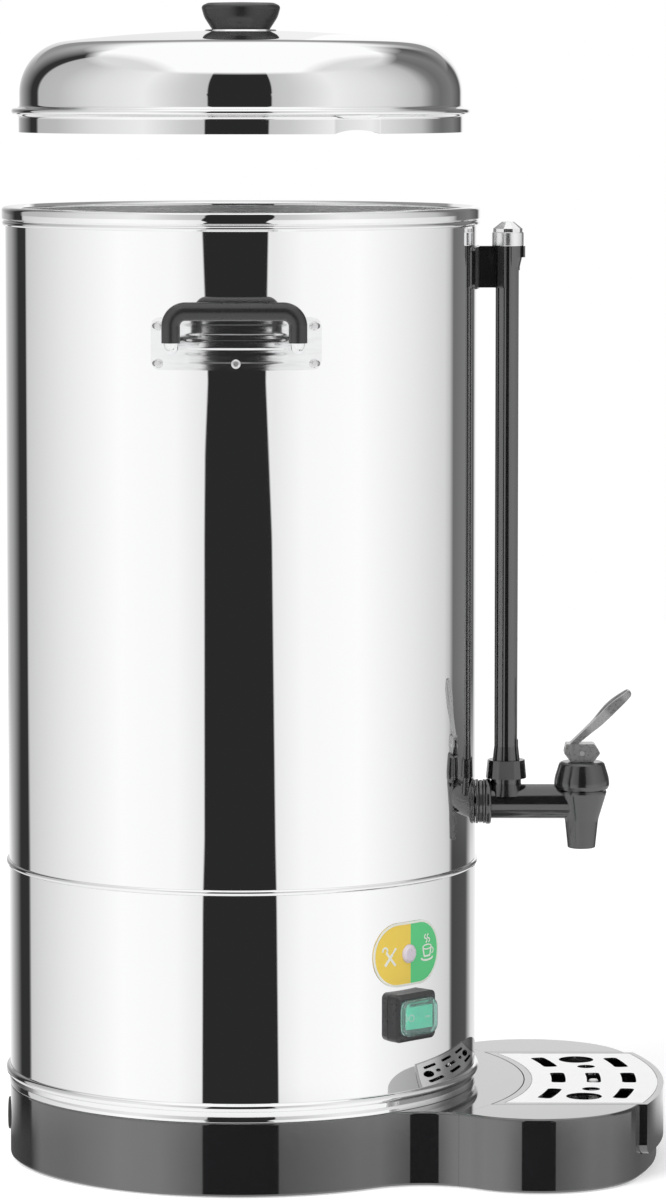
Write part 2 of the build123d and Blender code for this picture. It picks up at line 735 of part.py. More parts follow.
def tank_floor():
    """Pressed floor of the tank, welded to the wall's lower edge, with the heater's stud."""
    floor = turned([
        (0, TANK_FLOOR_Z),
        (TANK_R, TANK_FLOOR_Z, TANK_CORNER_R),
        (TANK_R, TANK_FLOOR_Z + TANK_DISH_H),
        (MOUTH_R, TANK_FLOOR_Z + TANK_DISH_H),
        (MOUTH_R, TANK_FLOOR_Z + SHEET, TANK_CORNER_R - SHEET),
        (0, TANK_FLOOR_Z + SHEET),
    ])
    return floor + upright(STUD_R, BRIDGE_Z - STUD_LONG, TANK_FLOOR_Z)


def lock_lugs():
    """Two lugs on the tank's wall, which the lid's notches pass before it is turned to lock."""
    lugs = Part()
    for turn in (0, 180):
        low = FLANGE_Z - LUG_DOWN
        lug = ring(MOUTH_R - SEAT, MOUTH_R - SEAT - LUG_T, low, low + LUG_H)
        lug &= block(0, BARREL_R, -LUG_WIDE / 2, LUG_WIDE / 2, 0, TOP_Z)
        lugs += Rot(0, 0, NOTCH_AT + turn) * lug
    return lugs


# ---------------------------------------------------------------- heating and wiring
def blade(x0, x1, y, z0, z1):
    """Flat connector blade, standing on edge across Y."""
    return block(x0, x1, y - BLADE_T / 2, y + BLADE_T / 2, z0, z1)


def heat_spreader():
    """Aluminium disc under the tank's floor."""
    return ring(SPREADER_R, STUD_R + SEAT, SPREADER_Z, TANK_FLOOR_Z)


def heating_element():
    """Tubular element: an open ring under the spreader with two legs turned down."""
    z = SPREADER_Z - ELEMENT_R
    section = Plane.XZ * Pos(ELEMENT_RING_R, 0) * Circle(ELEMENT_R)
    loop = revolve(section, Axis.Z, 360 - ELEMENT_GAP)
    element = Pos(0, 0, z) * Rot(0, 0, 180 + ELEMENT_GAP / 2) * loop
    for side in (-1, 1):
        x, y = polar(ELEMENT_RING_R, 180 + side * ELEMENT_GAP / 2)
        element += Pos(x, y, z) * Sphere(ELEMENT_R)
        element += upright(ELEMENT_R, z - ELEMENT_LEG, z, x, y)
        element += upright(ELEMENT_PIN_R, z - ELEMENT_LEG - ELEMENT_PIN, z - ELEMENT_LEG, x, y)
    return element


def clamp_bridge():
    """Pressed bar that holds the element up against the spreader."""
    bar = Pos(0, 0, BRIDGE_Z - BRIDGE_T / 2) * Box(BRIDGE_WIDE, BRIDGE_LONG, BRIDGE_T)
    return bar - upright(STUD_R + SEAT, BRIDGE_Z - BRIDGE_T, BRIDGE_Z)


def bridge_nut():
    """Nut on the tank's stud, under the bridge."""
    top = BRIDGE_Z - BRIDGE_T
    return hexagon(STUD_NUT_R, top - STUD_NUT_T, top) - upright(STUD_R + FIT, top - STUD_NUT_T, top)


def disc_thermostat(side):
    """Snap-disc thermostat with two blades, on the spreader's underside."""
    x = side * STAT_AT
    low = SPREADER_Z - STAT_H
    neck_low = low - STAT_NECK
    body = upright(STAT_R, low, SPREADER_Z, x) + upright(STAT_NECK_R, neck_low, low, x)
    for y in (-STAT_BLADE_AT, STAT_BLADE_AT):
        body += blade(x - BLADE_WIDE / 2, x + BLADE_WIDE / 2, y, neck_low - BLADE_LONG, neck_low)
    return body


def terminal_block():
    """Terminal block on the cover, behind the cord's gland."""
    deep, wide, high = BLOCK_SIZE
    low = COVER_Z + COVER_T
    x = BLOCK_BACK - BARREL_R
    body = block(x, x + deep, -wide / 2, wide / 2, low, low + high)
    for index in range(3):
        y = (index - 1) * BLOCK_STEP
        body -= upright(BLOCK_HOLE_R, low + high / 2, low + high, x + deep / 2, y)
    return body


# ---------------------------------------------------------------- label, lamp and switch
def on_panel(piece):
    """Turn a piece from the +X side to the direction of the lamp and the switch."""
    return Rot(0, 0, PANEL_AT) * piece


def label_plate():
    """Thin two-colour label bent round the lower shell, with a hole for the lamp."""
    out = BARREL_R + SEAT / 2
    sheet = ring(out + LABEL_T, out, LABEL_Z - LABEL_HIGH, LABEL_Z + LABEL_HIGH)
    chord = 2 * BARREL_R * sin(LABEL_WIDE / BARREL_R / 2)
    shape = panel(chord, LABEL_HIGH, LABEL_CORNER_R, BARREL_R - 20, BARREL_R + 10, LABEL_Z)
    hole = level(LENS_R + SEAT, BARREL_R - 20, BARREL_R + 10, 0, LABEL_Z)
    return on_panel((sheet & shape) - hole)


def indicator_lens():
    """Domed lens that stands out of the label."""
    base = BARREL_R + SEAT
    profile = [(0, 0), (LENS_R, 0), (LENS_R, LENS_EDGE_H), (0.7 * LENS_R, LENS_DOME, 1.2), (0, LENS_DOME)]
    dome = Pos(base, 0, LABEL_Z) * Rot(0, 90, 0) * turned(profile)
    return on_panel(dome)


def indicator_body():
    """Lamp holder behind the lens, with its spring nut and two blades."""
    x = BARREL_R + SEAT
    back = x - LAMP_BODY_LONG
    body = level(LAMP_BODY_R, back, x, 0, LABEL_Z)
    body += level(LAMP_NUT_R, x - LAMP_NUT_AT, x - LAMP_NUT_AT + LAMP_NUT_T, 0, LABEL_Z)
    blade_low = LABEL_Z - LAMP_BLADE_HIGH / 2
    for y in (-LAMP_BODY_R / 2, LAMP_BODY_R / 2):
        body += blade(back - LAMP_BLADE_LONG, back, y, blade_low, blade_low + LAMP_BLADE_HIGH)
    return on_panel(body)


def switch_bezel():
    """Frame of the switch, cut to the barrel's curve at the back, with a well for the rocker."""
    front = BARREL_R + SWITCH_PROUD
    frame = panel(SWITCH_WIDE, SWITCH_HIGH, SWITCH_CORNER_R, BARREL_R - SWITCH_SKIRT, front, SWITCH_Z)
    frame = chamfer(frame.faces().sort_by(Axis.X)[-1].edges(), SWITCH_CHAMFER)
    frame -= upright(BARREL_R + SEAT, 0, TOP_Z)
    well_wide = BOOT_WIDE - 2 * WELL_IN
    well_high = BOOT_HIGH - 2 * WELL_IN
    return on_panel(frame - panel(well_wide, well_high, 1.5, BARREL_R - 20, front + 5, SWITCH_Z))


def switch_boot():
    """Clear soft boot over the rocker, a thin domed box clipped on the bezel."""
    foot = BARREL_R + SWITCH_PROUD
    top = foot + BOOT_PROUD
    outer = panel(BOOT_WIDE, BOOT_HIGH, BOOT_CORNER_R, foot, top, SWITCH_Z)
    outer = fillet(outer.faces().sort_by(Axis.X)[-1].edges(), BOOT_EDGE_R)
    inner_wide = BOOT_WIDE - 2 * BOOT_WALL
    inner_high = BOOT_HIGH - 2 * BOOT_WALL
    inner_corner = BOOT_CORNER_R - BOOT_WALL
    inner = panel(inner_wide, inner_high, inner_corner, foot - 1, top - BOOT_WALL, SWITCH_Z)
    return on_panel(outer - inner)


def rocker_pivot_x():
    """Distance of the rocker's pivot from the barrel's axis."""
    return BARREL_R + SWITCH_PROUD - ROCKER_PIVOT_IN


def switch_rocker():
    """Rocker with two flats that meet at a shallow ridge, tipped to its off side."""
    x = rocker_pivot_x()
    half = ROCKER_WIDE / 2
    slope = half * tan(radians(ROCKER_TILT))
    crown = ROCKER_PIVOT_IN + ROCKER_RISE
    plan = [
        (crown - ROCKER_T - slope, -half),
        (crown - slope, -half, 0.8),
        (crown - ROCKER_RIDGE, 0),
        (crown - slope, half, 0.8),
        (crown - ROCKER_T - slope, half),
        (-ROCKER_FOOT, ROCKER_FOOT_HALF),
        (-ROCKER_FOOT, -ROCKER_FOOT_HALF),
    ]
    tipped = Pos(x, 0, SWITCH_Z - ROCKER_HIGH / 2) * Rot(0, 0, -ROCKER_TILT)
    rocker = tipped * extrude(outline(plan), ROCKER_HIGH)
    rocker -= upright(ROCKER_PIVOT_R + FIT, SWITCH_Z - ROCKER_HIGH, SWITCH_Z + ROCKER_HIGH, x)
    return on_panel(rocker)


def switch_body():
    """Switch housing behind the bezel: side cheeks, the rocker's pivot pin and three blades."""
    pivot_x = rocker_pivot_x()
    back = BARREL_R - SWITCH_BODY_DEEP
    front = pivot_x + SWITCH_CHEEK
    body = panel(SWITCH_BODY_WIDE, SWITCH_BODY_HIGH, 1.2, back, front, SWITCH_Z)
    well_wide = ROCKER_WIDE + 2 * SWITCH_END_PLAY
    well_high = ROCKER_HIGH + 2 * PLAY
    body -= panel(well_wide, well_high, 0.5, pivot_x - SWITCH_WELL_DEEP, front + 5, SWITCH_Z)
    pin_reach = well_high / 2 + 1
    body += upright(ROCKER_PIVOT_R, SWITCH_Z - pin_reach, SWITCH_Z + pin_reach, pivot_x)
    blade_low = SWITCH_Z - SWITCH_BLADE_HIGH / 2
    for y in (-SWITCH_BLADE_AT, 0, SWITCH_BLADE_AT):
        body += blade(back - SWITCH_BLADE_LONG, back, y, blade_low, blade_low + SWITCH_BLADE_HIGH)
    return on_panel(body)


# ---------------------------------------------------------------- carrying handles
def rivet_spots():
    """Rivets of a handle's plate: its four corners and the middle of its lower edge."""
    y = PLATE_WIDE / 2 - RIVET_IN
    low = HANDLE_Z - PLATE_HIGH / 2 + RIVET_LOW_IN
    high = HANDLE_Z + PLATE_HIGH / 2 - RIVET_HIGH_IN
    return [(-y, low), (y, low), (-y, high), (y, high), (0, low)]


def handle_plate():
    """Stamped plate bent round the barrel, with a middle rib and two raised roots for the arms."""
    out = BARREL_R + SEAT / 2
    low, high = HANDLE_Z - PLATE_HIGH, HANDLE_Z + PLATE_HIGH
    sheet = ring(out + PLATE_T, out, low, high)
    plate = sheet & panel(PLATE_WIDE, PLATE_HIGH, 5.0, BARREL_R - 20, BARREL_R + 20, HANDLE_Z)
    raised = ring(out + PLATE_T + RIB_T, out + PLATE_T / 2, low, high)
    rib = panel(RIB_LONG, RIB_HIGH, 4.0, BARREL_R - 20, BARREL_R + 20, HANDLE_Z)
    for side in (-1, 1):
        rib += level(ROOT_R, BARREL_R - 20, BARREL_R + 20, side * HANDLE_SPAN / 2, HANDLE_Z)
    plate += raised & rib
    for y, z in rivet_spots():
        plate -= level(RIVET_R + FIT, BARREL_R - 20, BARREL_R + 20, y, z)
    for side in (-1, 1):
        y = side * HANDLE_SPAN / 2
        plate -= level(ARM_ROD_R + FIT, BARREL_R - 30, BARREL_R + 30, y, HANDLE_Z)
    return plate


def handle_arms():
    """Two bent rods from the plate out and up into the grip's legs."""
    arms = Part()
    x = BARREL_R + HANDLE_OUT
    for side in (-1, 1):
        y = side * HANDLE_SPAN / 2
        start = (BARREL_R - 10, y, HANDLE_Z)
        route = [start, (x, y, HANDLE_Z), (x, y, HANDLE_Z + ARM_BEND_R + SOCKET_DEEP)]
        path = FilletPolyline(*route, radius=ARM_BEND_R)
        section = Plane(origin=start, z_dir=(1, 0, 0)) * Circle(ARM_ROD_R)
        rod = sweep(section, path)
        arms += rod - upright(BARREL_R + SEAT, 0, TOP_Z)
    return arms


def handle_grip():
    """Moulded grip: a bar with two legs turned down, socketed for the arms."""
    x = BARREL_R + HANDLE_OUT
    half = HANDLE_SPAN / 2
    foot_z = HANDLE_Z + GRIP_FOOT_UP
    bar_z = HANDLE_Z + HANDLE_RISE
    bend_z = HANDLE_Z + ARM_BEND_R
    route = [(x, -half, foot_z), (x, -half, bar_z), (x, half, bar_z), (x, half, foot_z)]
    path = FilletPolyline(*route, radius=GRIP_BEND_R)
    section = Plane(origin=route[0], z_dir=(0, 0, 1)) * Circle(GRIP_R)
    grip = sweep(section, path)
    bend = Pos(x - ARM_BEND_R, 0, bend_z) * Rot(90, 0, 0) * Torus(ARM_BEND_R, ARM_ROD_R + FIT)
    bend &= block(x - ARM_BEND_R, x + GRIP_R, -GRIP_R, GRIP_R, foot_z, bend_z)
    for y in (-half, half):
        grip -= upright(ARM_ROD_R + FIT, bend_z, bend_z + SOCKET_DEEP + PLAY, x, y)
        grip -= Pos(0, y, 0) * bend
    return grip


def handle_rivets():
    """Five domed rivets through the plate and the barrel."""
    rivets = Part()
    for y, z in rivet_spots():
        face = sqrt(BARREL_R**2 - y**2) + PLATE_T + RIVET_LIFT
        tilt = degrees(atan2(y, BARREL_R))
        seat_r = BARREL_R + PLATE_T + SEAT
        head = turned([(0, 0), (RIVET_HEAD_R, 0), (RIVET_HEAD_R - 1, RIVET_HEAD_T, 0.5), (0, RIVET_HEAD_T)])
        rivets += Pos(0, 0, z) * Rot(0, 0, tilt) * Pos(seat_r, 0, 0) * Rot(0, 90, 0) * head
        rivets += level(RIVET_R, face - PLATE_T - RIVET_TAIL, face, y, z)
    return rivets


# ---------------------------------------------------------------- level gauge
def bracket_screw_heights():
    """Heights of the two screws that hold the gauge's upper bracket."""
    return GUARD_TOP_Z - BRACKET_H + BRACKET_SCREW_IN, GUARD_TOP_Z - BRACKET_SCREW_IN


def gauge_bracket():
    """Upper bracket: curved flange on the barrel, a narrow neck and a half-round clamp on the guard."""
    high = GUARD_TOP_Z
    low = high - BRACKET_H
    out = BARREL_R + SEAT
    flange = ring(out + BRACKET_T, out, low, high)
    flange &= panel(2 * BRACKET_HALF, BRACKET_H, 3.0, BARREL_R - 20, BARREL_R + 20, (low + high) / 2)
    neck_half = BRACKET_NECK / 2
    neck = block(out + BRACKET_T / 2, GAUGE_X, -neck_half, neck_half, low, high)
    clamp = ring(GUARD_R + SEAT + CLAMP_T, GUARD_R, low, high, GAUGE_X)
    clamp &= block(0, GAUGE_X - CLAMP_END, -BARREL_R, BARREL_R, low, high)
    bracket = flange + neck + clamp
    bracket -= upright(GUARD_R + SEAT, low - 1, high + 1, GAUGE_X)
    for z in bracket_screw_heights():
        bracket -= level(BRACKET_SCREW_R + FIT, BARREL_R, BARREL_R + BRACKET_SCREW_LONG + PLAY, 0, z)
    return bracket


def bracket_screws():
    """Two screws from inside the barrel into the bracket's neck."""
    screws = Part()
    face = BARREL_R - SHEET - SEAT
    for z in bracket_screw_heights():
        screws += level(BRACKET_HEAD_R, face - BRACKET_HEAD_T, face, 0, z)
        screws += level(BRACKET_SCREW_R, face, BARREL_R + BRACKET_SCREW_LONG, 0, z)
    return screws


def gauge_guard():
    """Guard tube with a viewing slot to the front, a collar and a finger tab at its top."""
    flare_z = NUT_TOP_Z + SEAT
    tube = turned([
        (GUARD_BORE_R, GUARD_Z),
        (GUARD_R, GUARD_Z),
        (GUARD_R, flare_z),
        (GUARD_R + GUARD_FLARE, flare_z),
        (GUARD_R, flare_z + GUARD_FLARE_H),
        (GUARD_R, GUARD_TOP_Z),
        (GUARD_BORE_R, GUARD_TOP_Z),
    ], GAUGE_X)
    collar_low = GUARD_TOP_Z - GUARD_COLLAR_H
    inside = (GUARD_R + GUARD_BORE_R) / 2
    collar = turned([
        (inside, collar_low),
        (GUARD_R, collar_low),
        (GUARD_R + GUARD_COLLAR_T, GUARD_TOP_Z - GUARD_TAB_H),
        (GUARD_R + GUARD_COLLAR_T, GUARD_TOP_Z),
        (inside, GUARD_TOP_Z),
    ], GAUGE_X)
    collar &= block(GAUGE_X + 2, GAUGE_X + 20, -20, 20, collar_low, GUARD_TOP_Z)
    tab = block(inside, GUARD_R + GUARD_TAB_OUT, -GUARD_TAB_HALF, GUARD_TAB_HALF, 0, GUARD_TAB_H)
    tab = Pos(GAUGE_X, 0, GUARD_TOP_Z - GUARD_TAB_H) * fillet(tab.edges().filter_by(Axis.Z), 1.0)
    slot_low = GUARD_Z + GUARD_SLOT_END
    slot_high = GUARD_TOP_Z - GUARD_SLOT_END
    slot = block(GAUGE_X, GAUGE_X + 20, -GUARD_SLOT / 2, GUARD_SLOT / 2, slot_low, slot_high)
    return tube + collar + tab - slot


def gauge_tube():
    """Glass tube inside the guard, from the tap's neck to the cap."""
    return ring(GLASS_R, GLASS_R - GLASS_T, GLASS_Z, GUARD_TOP_Z + GLASS_IN_CAP - SEAT, GAUGE_X)


def gauge_nut():
    """Union nut, sixteen-sided and tapered, that clamps glass and guard on the tap's neck."""
    low = Pos(GAUGE_X, 0, NUT_Z) * RegularPolygon(NUT_R, NUT_SIDES)
    high = Pos(GAUGE_X, 0, NUT_TOP_Z) * RegularPolygon(NUT_TOP_R, NUT_SIDES)
    nut = loft([low, high])
    nut -= upright(NECK_TUBE_R - NECK_WALL + FIT, NUT_Z, GUARD_Z, GAUGE_X)
    return nut - upright(GUARD_R + FIT, GUARD_Z, NUT_TOP_Z, GAUGE_X)


def gauge_seal():
    """Rubber ring between glass and neck."""
    return ring(SEAL_R, GLASS_R + FIT, GUARD_Z - GAUGE_SEAL_H, GUARD_Z, GAUGE_X)


def gauge_cap():
    """Plated cap on the guard: a round band and a faceted dome, with a vent."""
    low = GUARD_TOP_Z
    band_top = low + CAP_BAND_H
    cap = turned([(0, low), (CAP_R, low, 0.4), (CAP_R, band_top, 0.6), (0, band_top)], GAUGE_X)
    foot = Pos(GAUGE_X, 0, band_top) * RegularPolygon(CAP_SHOULDER_R, CAP_SIDES)
    cap += extrude(foot, CAP_SHOULDER_H)
    head = Pos(GAUGE_X, 0, band_top + CAP_DOME_H) * RegularPolygon(CAP_TOP_R, CAP_SIDES)
    cap += loft([Pos(0, 0, CAP_SHOULDER_H) * foot, head])
    cap -= upright(GLASS_R + SEAT, low, low + GLASS_IN_CAP, GAUGE_X)
    return cap - upright(VENT_R, low, band_top + CAP_DOME_H, GAUGE_X)


# ---------------------------------------------------------------- tap
def tap_washer():
    """Thick rubber washer between tap and barrel, round-edged and cut to the barrel's curve."""
    end = BARREL_R + WASHER_T
    profile = [
        (SHANK_R + FIT, BARREL_R - 3),
        (WASHER_R, BARREL_R - 3),
        (WASHER_R, end, 2.2),
        (SHANK_R + FIT, end),
    ]
    washer = Pos(0, 0, TAP_Z) * Rot(0, 90, 0) * turned(profile)
    return washer - upright(BARREL_R + SEAT, 0, TOP_Z)


def tap_seal():
    """Rubber ring inside the tank, under the back nut."""
    low = MOUTH_R - SEAL_T - SEAL_SAG
    seal = level(WASHER_R - 1, low, MOUTH_R + 2, 0, TAP_Z)
    seal -= level(SHANK_R + FIT, low - 5, MOUTH_R + 5, 0, TAP_Z)
    return seal & upright(MOUTH_R - SEAT, 0, TOP_Z)


def tap_back_nut():
    """Hexagonal nut on the tap's shank inside the tank."""
    end = MOUTH_R - SEAL_T - SEAL_SAG
    nut = hexagon(BACK_NUT_R, end - BACK_NUT_T, end) - upright(SHANK_R + FIT, 0, 2 * BARREL_R)
    return Pos(0, 0, TAP_Z) * Rot(0, 90, 0) * nut


def tap_body():
    """Tap: threaded shank, collar, arm with the gauge's neck, and the valve chamber with its spout."""
    collar_x = BARREL_R + WASHER_T
    body = level(SHANK_R, BARREL_R - SHANK_IN, collar_x, 0, TAP_Z)
    collar = turned([
        (0, collar_x),
        (COLLAR_R, collar_x, COLLAR_EDGE_R),
        (COLLAR_R, collar_x + COLLAR_T, COLLAR_EDGE_R),
        (0, collar_x + COLLAR_T),
    ])
    body += Pos(0, 0, TAP_Z) * Rot(0, 90, 0) * collar
    body += level(ARM_R, collar_x, TAP_X, 0, TAP_Z)
    body -= upright(BONNET_R + PLAY, BONNET_Z - PLAY, BONNET_TOP_Z, TAP_X)
    neck = NECK_TUBE_R
    body += turned([
        (0, TAP_Z),
        (neck + NECK_FLARE, TAP_Z + NECK_FLARE_LOW),
        (neck, TAP_Z + NECK_FLARE_HIGH, 3),
        (neck, NUT_Z),
        (neck - NECK_WALL, NUT_Z),
        (neck - NECK_WALL, GUARD_Z),
        (0, GUARD_Z),
    ], GAUGE_X)
    top = TAP_Z + BODY_TOP_UP
    spout_z = TAP_Z - SPOUT_DROP
    chamber = [
        (0, spout_z),
        (SPOUT_R, spout_z, 0.8),
        (WAIST_R, TAP_Z - WAIST_DROP, 12),
        (BODY_R, top - BODY_EDGE_H, 3),
        (BODY_R - BODY_EDGE, top),
        (THREAD_R, top),
        (THREAD_R, top + THREAD_H),
        (0, top + THREAD_H),
    ]
    body += turned(chamber, TAP_X)
    seat_z = TAP_Z - SEAT_DROP
    body -= turned([
        (0, spout_z),
        (SPOUT_BORE_R, spout_z),
        (SPOUT_BORE_R, seat_z - 1),
        (SPOUT_BORE_R + 1, seat_z),
        (CUP_R + 2 * PLAY, seat_z),
        (CHAMBER_R, TAP_Z),
        (CHAMBER_R, top + THREAD_H),
        (0, top + THREAD_H),
    ], TAP_X)
    body -= level(PASSAGE_R, BARREL_R - SHANK_IN, TAP_X, 0, TAP_Z)
    body -= upright(GLASS_R - GLASS_T, TAP_Z, GLASS_Z, GAUGE_X)
    body -= upright(GLASS_R + FIT, GLASS_Z, GUARD_Z, GAUGE_X)
    return body - upright(SEAL_R + FIT, GUARD_Z - GAUGE_SEAL_H, GUARD_Z, GAUGE_X)


def tap_bonnet():
    """Rounded bonnet screwed on the tap's body, with a guide for the stem."""
    low, high = BONNET_Z, BONNET_TOP_Z
    bonnet = turned([
        (0, low),
        (BONNET_R - BONNET_EDGE, low),
        (BONNET_R, low + BONNET_EDGE_H, 1.0),
        (BONNET_R, low + BONNET_BAND_H, 20),
        (BONNET_TOP_R, high, 2.5),
        (0, high),
    ], TAP_X)
    bonnet -= upright(THREAD_R + FIT, low, TAP_Z + BODY_TOP_UP + THREAD_H + PLAY, TAP_X)
    bonnet -= upright(CHAMBER_R, low, high - BONNET_ROOF, TAP_X)
    return bonnet - upright(STEM_R + FIT, low, high, TAP_X)


def stem_foot_z():
    """Height of the stem's foot in the seat cup."""
    return TAP_Z - SEAT_DROP + CUP_H - STEM_FOOT_T


def valve_stem():
    """Stem through the bonnet, with a foot for the seat cup and a flat eye for the lever's pin."""
    foot = stem_foot_z()
    stem = upright(STEM_R, foot, LEVER_PIN_Z - STEM_R, TAP_X)
    stem += upright(STEM_FOOT_R, foot, foot + STEM_FOOT_T - SEAT, TAP_X)
    across = Pos(TAP_X, 0, LEVER_PIN_Z) * Rot(90, 0, 0)
    stem += across * Cylinder(STEM_EYE_R, 2 * STEM_R)
    return stem - across * Cylinder(PIN_R + FIT, HUB_WIDE)


def seat_cup():
    """Soft cup on the stem's foot that closes the seat."""
    low = TAP_Z - SEAT_DROP + SEAT
    high = low + CUP_H
    cup = turned([
        (0, low),
        (CUP_R - 2, low),
        (CUP_R, low + 2.5, 1.2),
        (CUP_R - 2.5, high, 1),
        (0, high),
    ], TAP_X)
    foot = stem_foot_z()
    cup -= upright(STEM_FOOT_R + FIT, foot - SEAT, foot + STEM_FOOT_T, TAP_X)
    return cup - upright(STEM_R + FIT, foot, high + 1, TAP_X)


def valve_spring():
    """Return spring round the stem, between the cup and the bonnet."""
    low = TAP_Z - SEAT_DROP + CUP_H + SEAT + SPRING_WIRE + SPRING_END
    high = BONNET_TOP_Z - BONNET_ROOF - SPRING_WIRE - SPRING_END
    coil = Helix((high - low) / SPRING_TURNS, high - low, SPRING_R)
    start = Plane(origin=coil @ 0, z_dir=coil % 0)
    return Pos(TAP_X, 0, low) * sweep(start * Circle(SPRING_WIRE), coil, is_frenet=True)


def lever_pin():
    """Pin through the lever's hub and the stem's eye."""
    reach = HUB_WIDE - 1.0
    return Pos(TAP_X, 0, LEVER_PIN_Z) * Rot(90, 0, 0) * Cylinder(PIN_R, reach)


def tap_lever():
    """Lever: a forked hub that rocks on the bonnet and a cupped thumb paddle."""
    foot = PLAY - PIN_UP
    side = [
        (-HUB_FLAT, foot, 0.6),
        (HUB_FLAT, foot, 0.6),
        (HUB_HALF, 0.2, 0.8),
        (HUB_HALF - 3.4, 5.6, 1.5),
        (-HUB_HALF + 1.0, 5.6, 1.0),
        (-HUB_HALF, 0.2, 0.8),
    ]
    place = Pos(TAP_X, 0, LEVER_PIN_Z)
    hub = extrude(Plane.XZ * outline(side), HUB_WIDE / 2, both=True)
    blade_profile = [
        (0, 0),
        (LEVER_LONG * 0.45, -0.6, 30),
        (LEVER_LONG * 0.98, 1.2, 2),
        (LEVER_LONG, 4.4, 1.5),
        (LEVER_LONG * 0.7, LEVER_T + 1.6, 40),
        (LEVER_LONG * 0.4, LEVER_T - 0.6, 30),
        (-2.0, LEVER_T - 1.8),
    ]
    blade = extrude(Plane.XZ * outline(blade_profile), PADDLE_WIDE, both=True)
    paddle_half = PADDLE_WIDE / 2
    plan = [
        (-4, -HUB_WIDE / 2 + 1.5),
        (LEVER_LONG * 0.3, -HUB_WIDE / 2 + 2.2, 20),
        (LEVER_LONG * 0.62, -paddle_half, 12),
        (LEVER_LONG, -paddle_half, 8),
        (LEVER_LONG, paddle_half, 8),
        (LEVER_LONG * 0.62, paddle_half, 12),
        (LEVER_LONG * 0.3, HUB_WIDE / 2 - 2.2, 20),
        (-4, HUB_WIDE / 2 - 1.5),
    ]
    blade &= Pos(0, 0, -20) * extrude(outline(plan), 60)
    cup = Pos(LEVER_LONG * 0.72, 0, LEVER_T + 11.0) * Rot(0, 90, 0) * Cylinder(11.5, LEVER_LONG * 0.5)
    blade -= cup
    blade = Pos(-HUB_HALF + 4.6, 0, 2.6) * Rot(0, -LEVER_UP, 0) * blade
    lever = hub + blade
    fork_half = STEM_R + PLAY
    lever -= block(-HUB_HALF, HUB_FLAT + 1, -fork_half, fork_half, foot, PIN_R + 2.0)
    lever -= Rot(90, 0, 0) * Cylinder(PIN_R + FIT, HUB_WIDE)
    return place * lever


# ---------------------------------------------------------------- drip tray
def tray_pan():
    """Drip tray: a pan with a ledge for the grid, a tall curved fascia and a pin for the float."""
    floor_z = TRAY_FLOOR_Z + TRAY_FLOOR_T
    pan = slab(tray_plan(PLAY, TRAY_FRONT_R), TRAY_FLOOR_Z, BASE_H) & tray_round(-PLAY)
    ledge = GRID_EDGE + GRID_LEDGE
    inside_front = TRAY_FRONT_R - FASCIA_T
    pan -= slab(tray_plan(ledge, inside_front - GRID_LEDGE), floor_z, BASE_H)
    pan -= slab(tray_plan(GRID_EDGE, inside_front), GRID_Z - PLAY, BASE_H)
    pin_top = floor_z + FLOAT_H + FLOAT_PIN_UP
    return pan + upright(FLOAT_PIN_R, TRAY_FLOOR_Z, pin_top, FIRST_ROW_R + ROW_STEP)


def arc_slot(radius, angle):
    """Drain slot bent round the barrel's axis, with rounded corners."""
    span = degrees(SLOT_LONG / radius)
    inner = radius - SLOT_WIDE / 2
    outer = radius + SLOT_WIDE / 2
    wedge = [(0, 0), polar(2 * outer, -span / 2), polar(2 * outer, span / 2)]
    plan = (Circle(outer) - Circle(inner)) & outline(wedge)
    plan = fillet(plan.vertices(), SLOT_CORNER_R)
    return Rot(0, 0, angle) * slab(plan, GRID_Z, BASE_H)


def drip_grid():
    """Stainless grid: three rows of openings on arcs about the barrel's axis."""
    front_r = TRAY_FRONT_R - FASCIA_T - PLAY
    grid = slab(tray_plan(GRID_EDGE + PLAY, front_r), GRID_Z, BASE_H)
    middle_r = FIRST_ROW_R + ROW_STEP
    last_r = middle_r + ROW_STEP
    for angle in (-FIRST_ROW_STEP, 0, FIRST_ROW_STEP):
        grid -= arc_slot(FIRST_ROW_R, angle)
    for angle in (-LAST_ROW_STEP, 0, LAST_ROW_STEP):
        grid -= arc_slot(last_r, angle)
    grid -= arc_slot(middle_r, 0)
    for side in (-1, 1):
        x, y = polar(middle_r, side * SMALL_HOLE_AT)
        grid -= upright(SMALL_HOLE_R, GRID_Z, BASE_H, x, y)
        x, y = polar(middle_r, side * BIG_HOLE_AT)
        grid -= upright(BIG_HOLE_R, GRID_Z, BASE_H, x, y)
    return grid


def level_float():
    """Float on the tray's pin, whose tip shows in the middle slot and rises when the tray is full."""
    x = FIRST_ROW_R + ROW_STEP
    low = TRAY_FLOOR_Z + TRAY_FLOOR_T + PLAY
    top = low + FLOAT_H
    tip = BASE_H - FLOAT_TIP_DOWN
    body = turned([
        (0, low),
        (FLOAT_R, low, 1),
        (FLOAT_R, top, 1),
        (FLOAT_TIP_R, top, 1),
        (FLOAT_TIP_R, tip, 1.2),
        (0, tip),
    ], x)
    return body - upright(FLOAT_PIN_R + 2 * FIT, low, top + FLOAT_PIN_UP + PLAY, x)


# ---------------------------------------------------------------- lid
def leaning(centre, radius, lean):
    """Point at a radius from a centre, at an angle in radians from straight up."""
    return centre[0] + radius * sin(lean), centre[1] + radius * cos(lean)


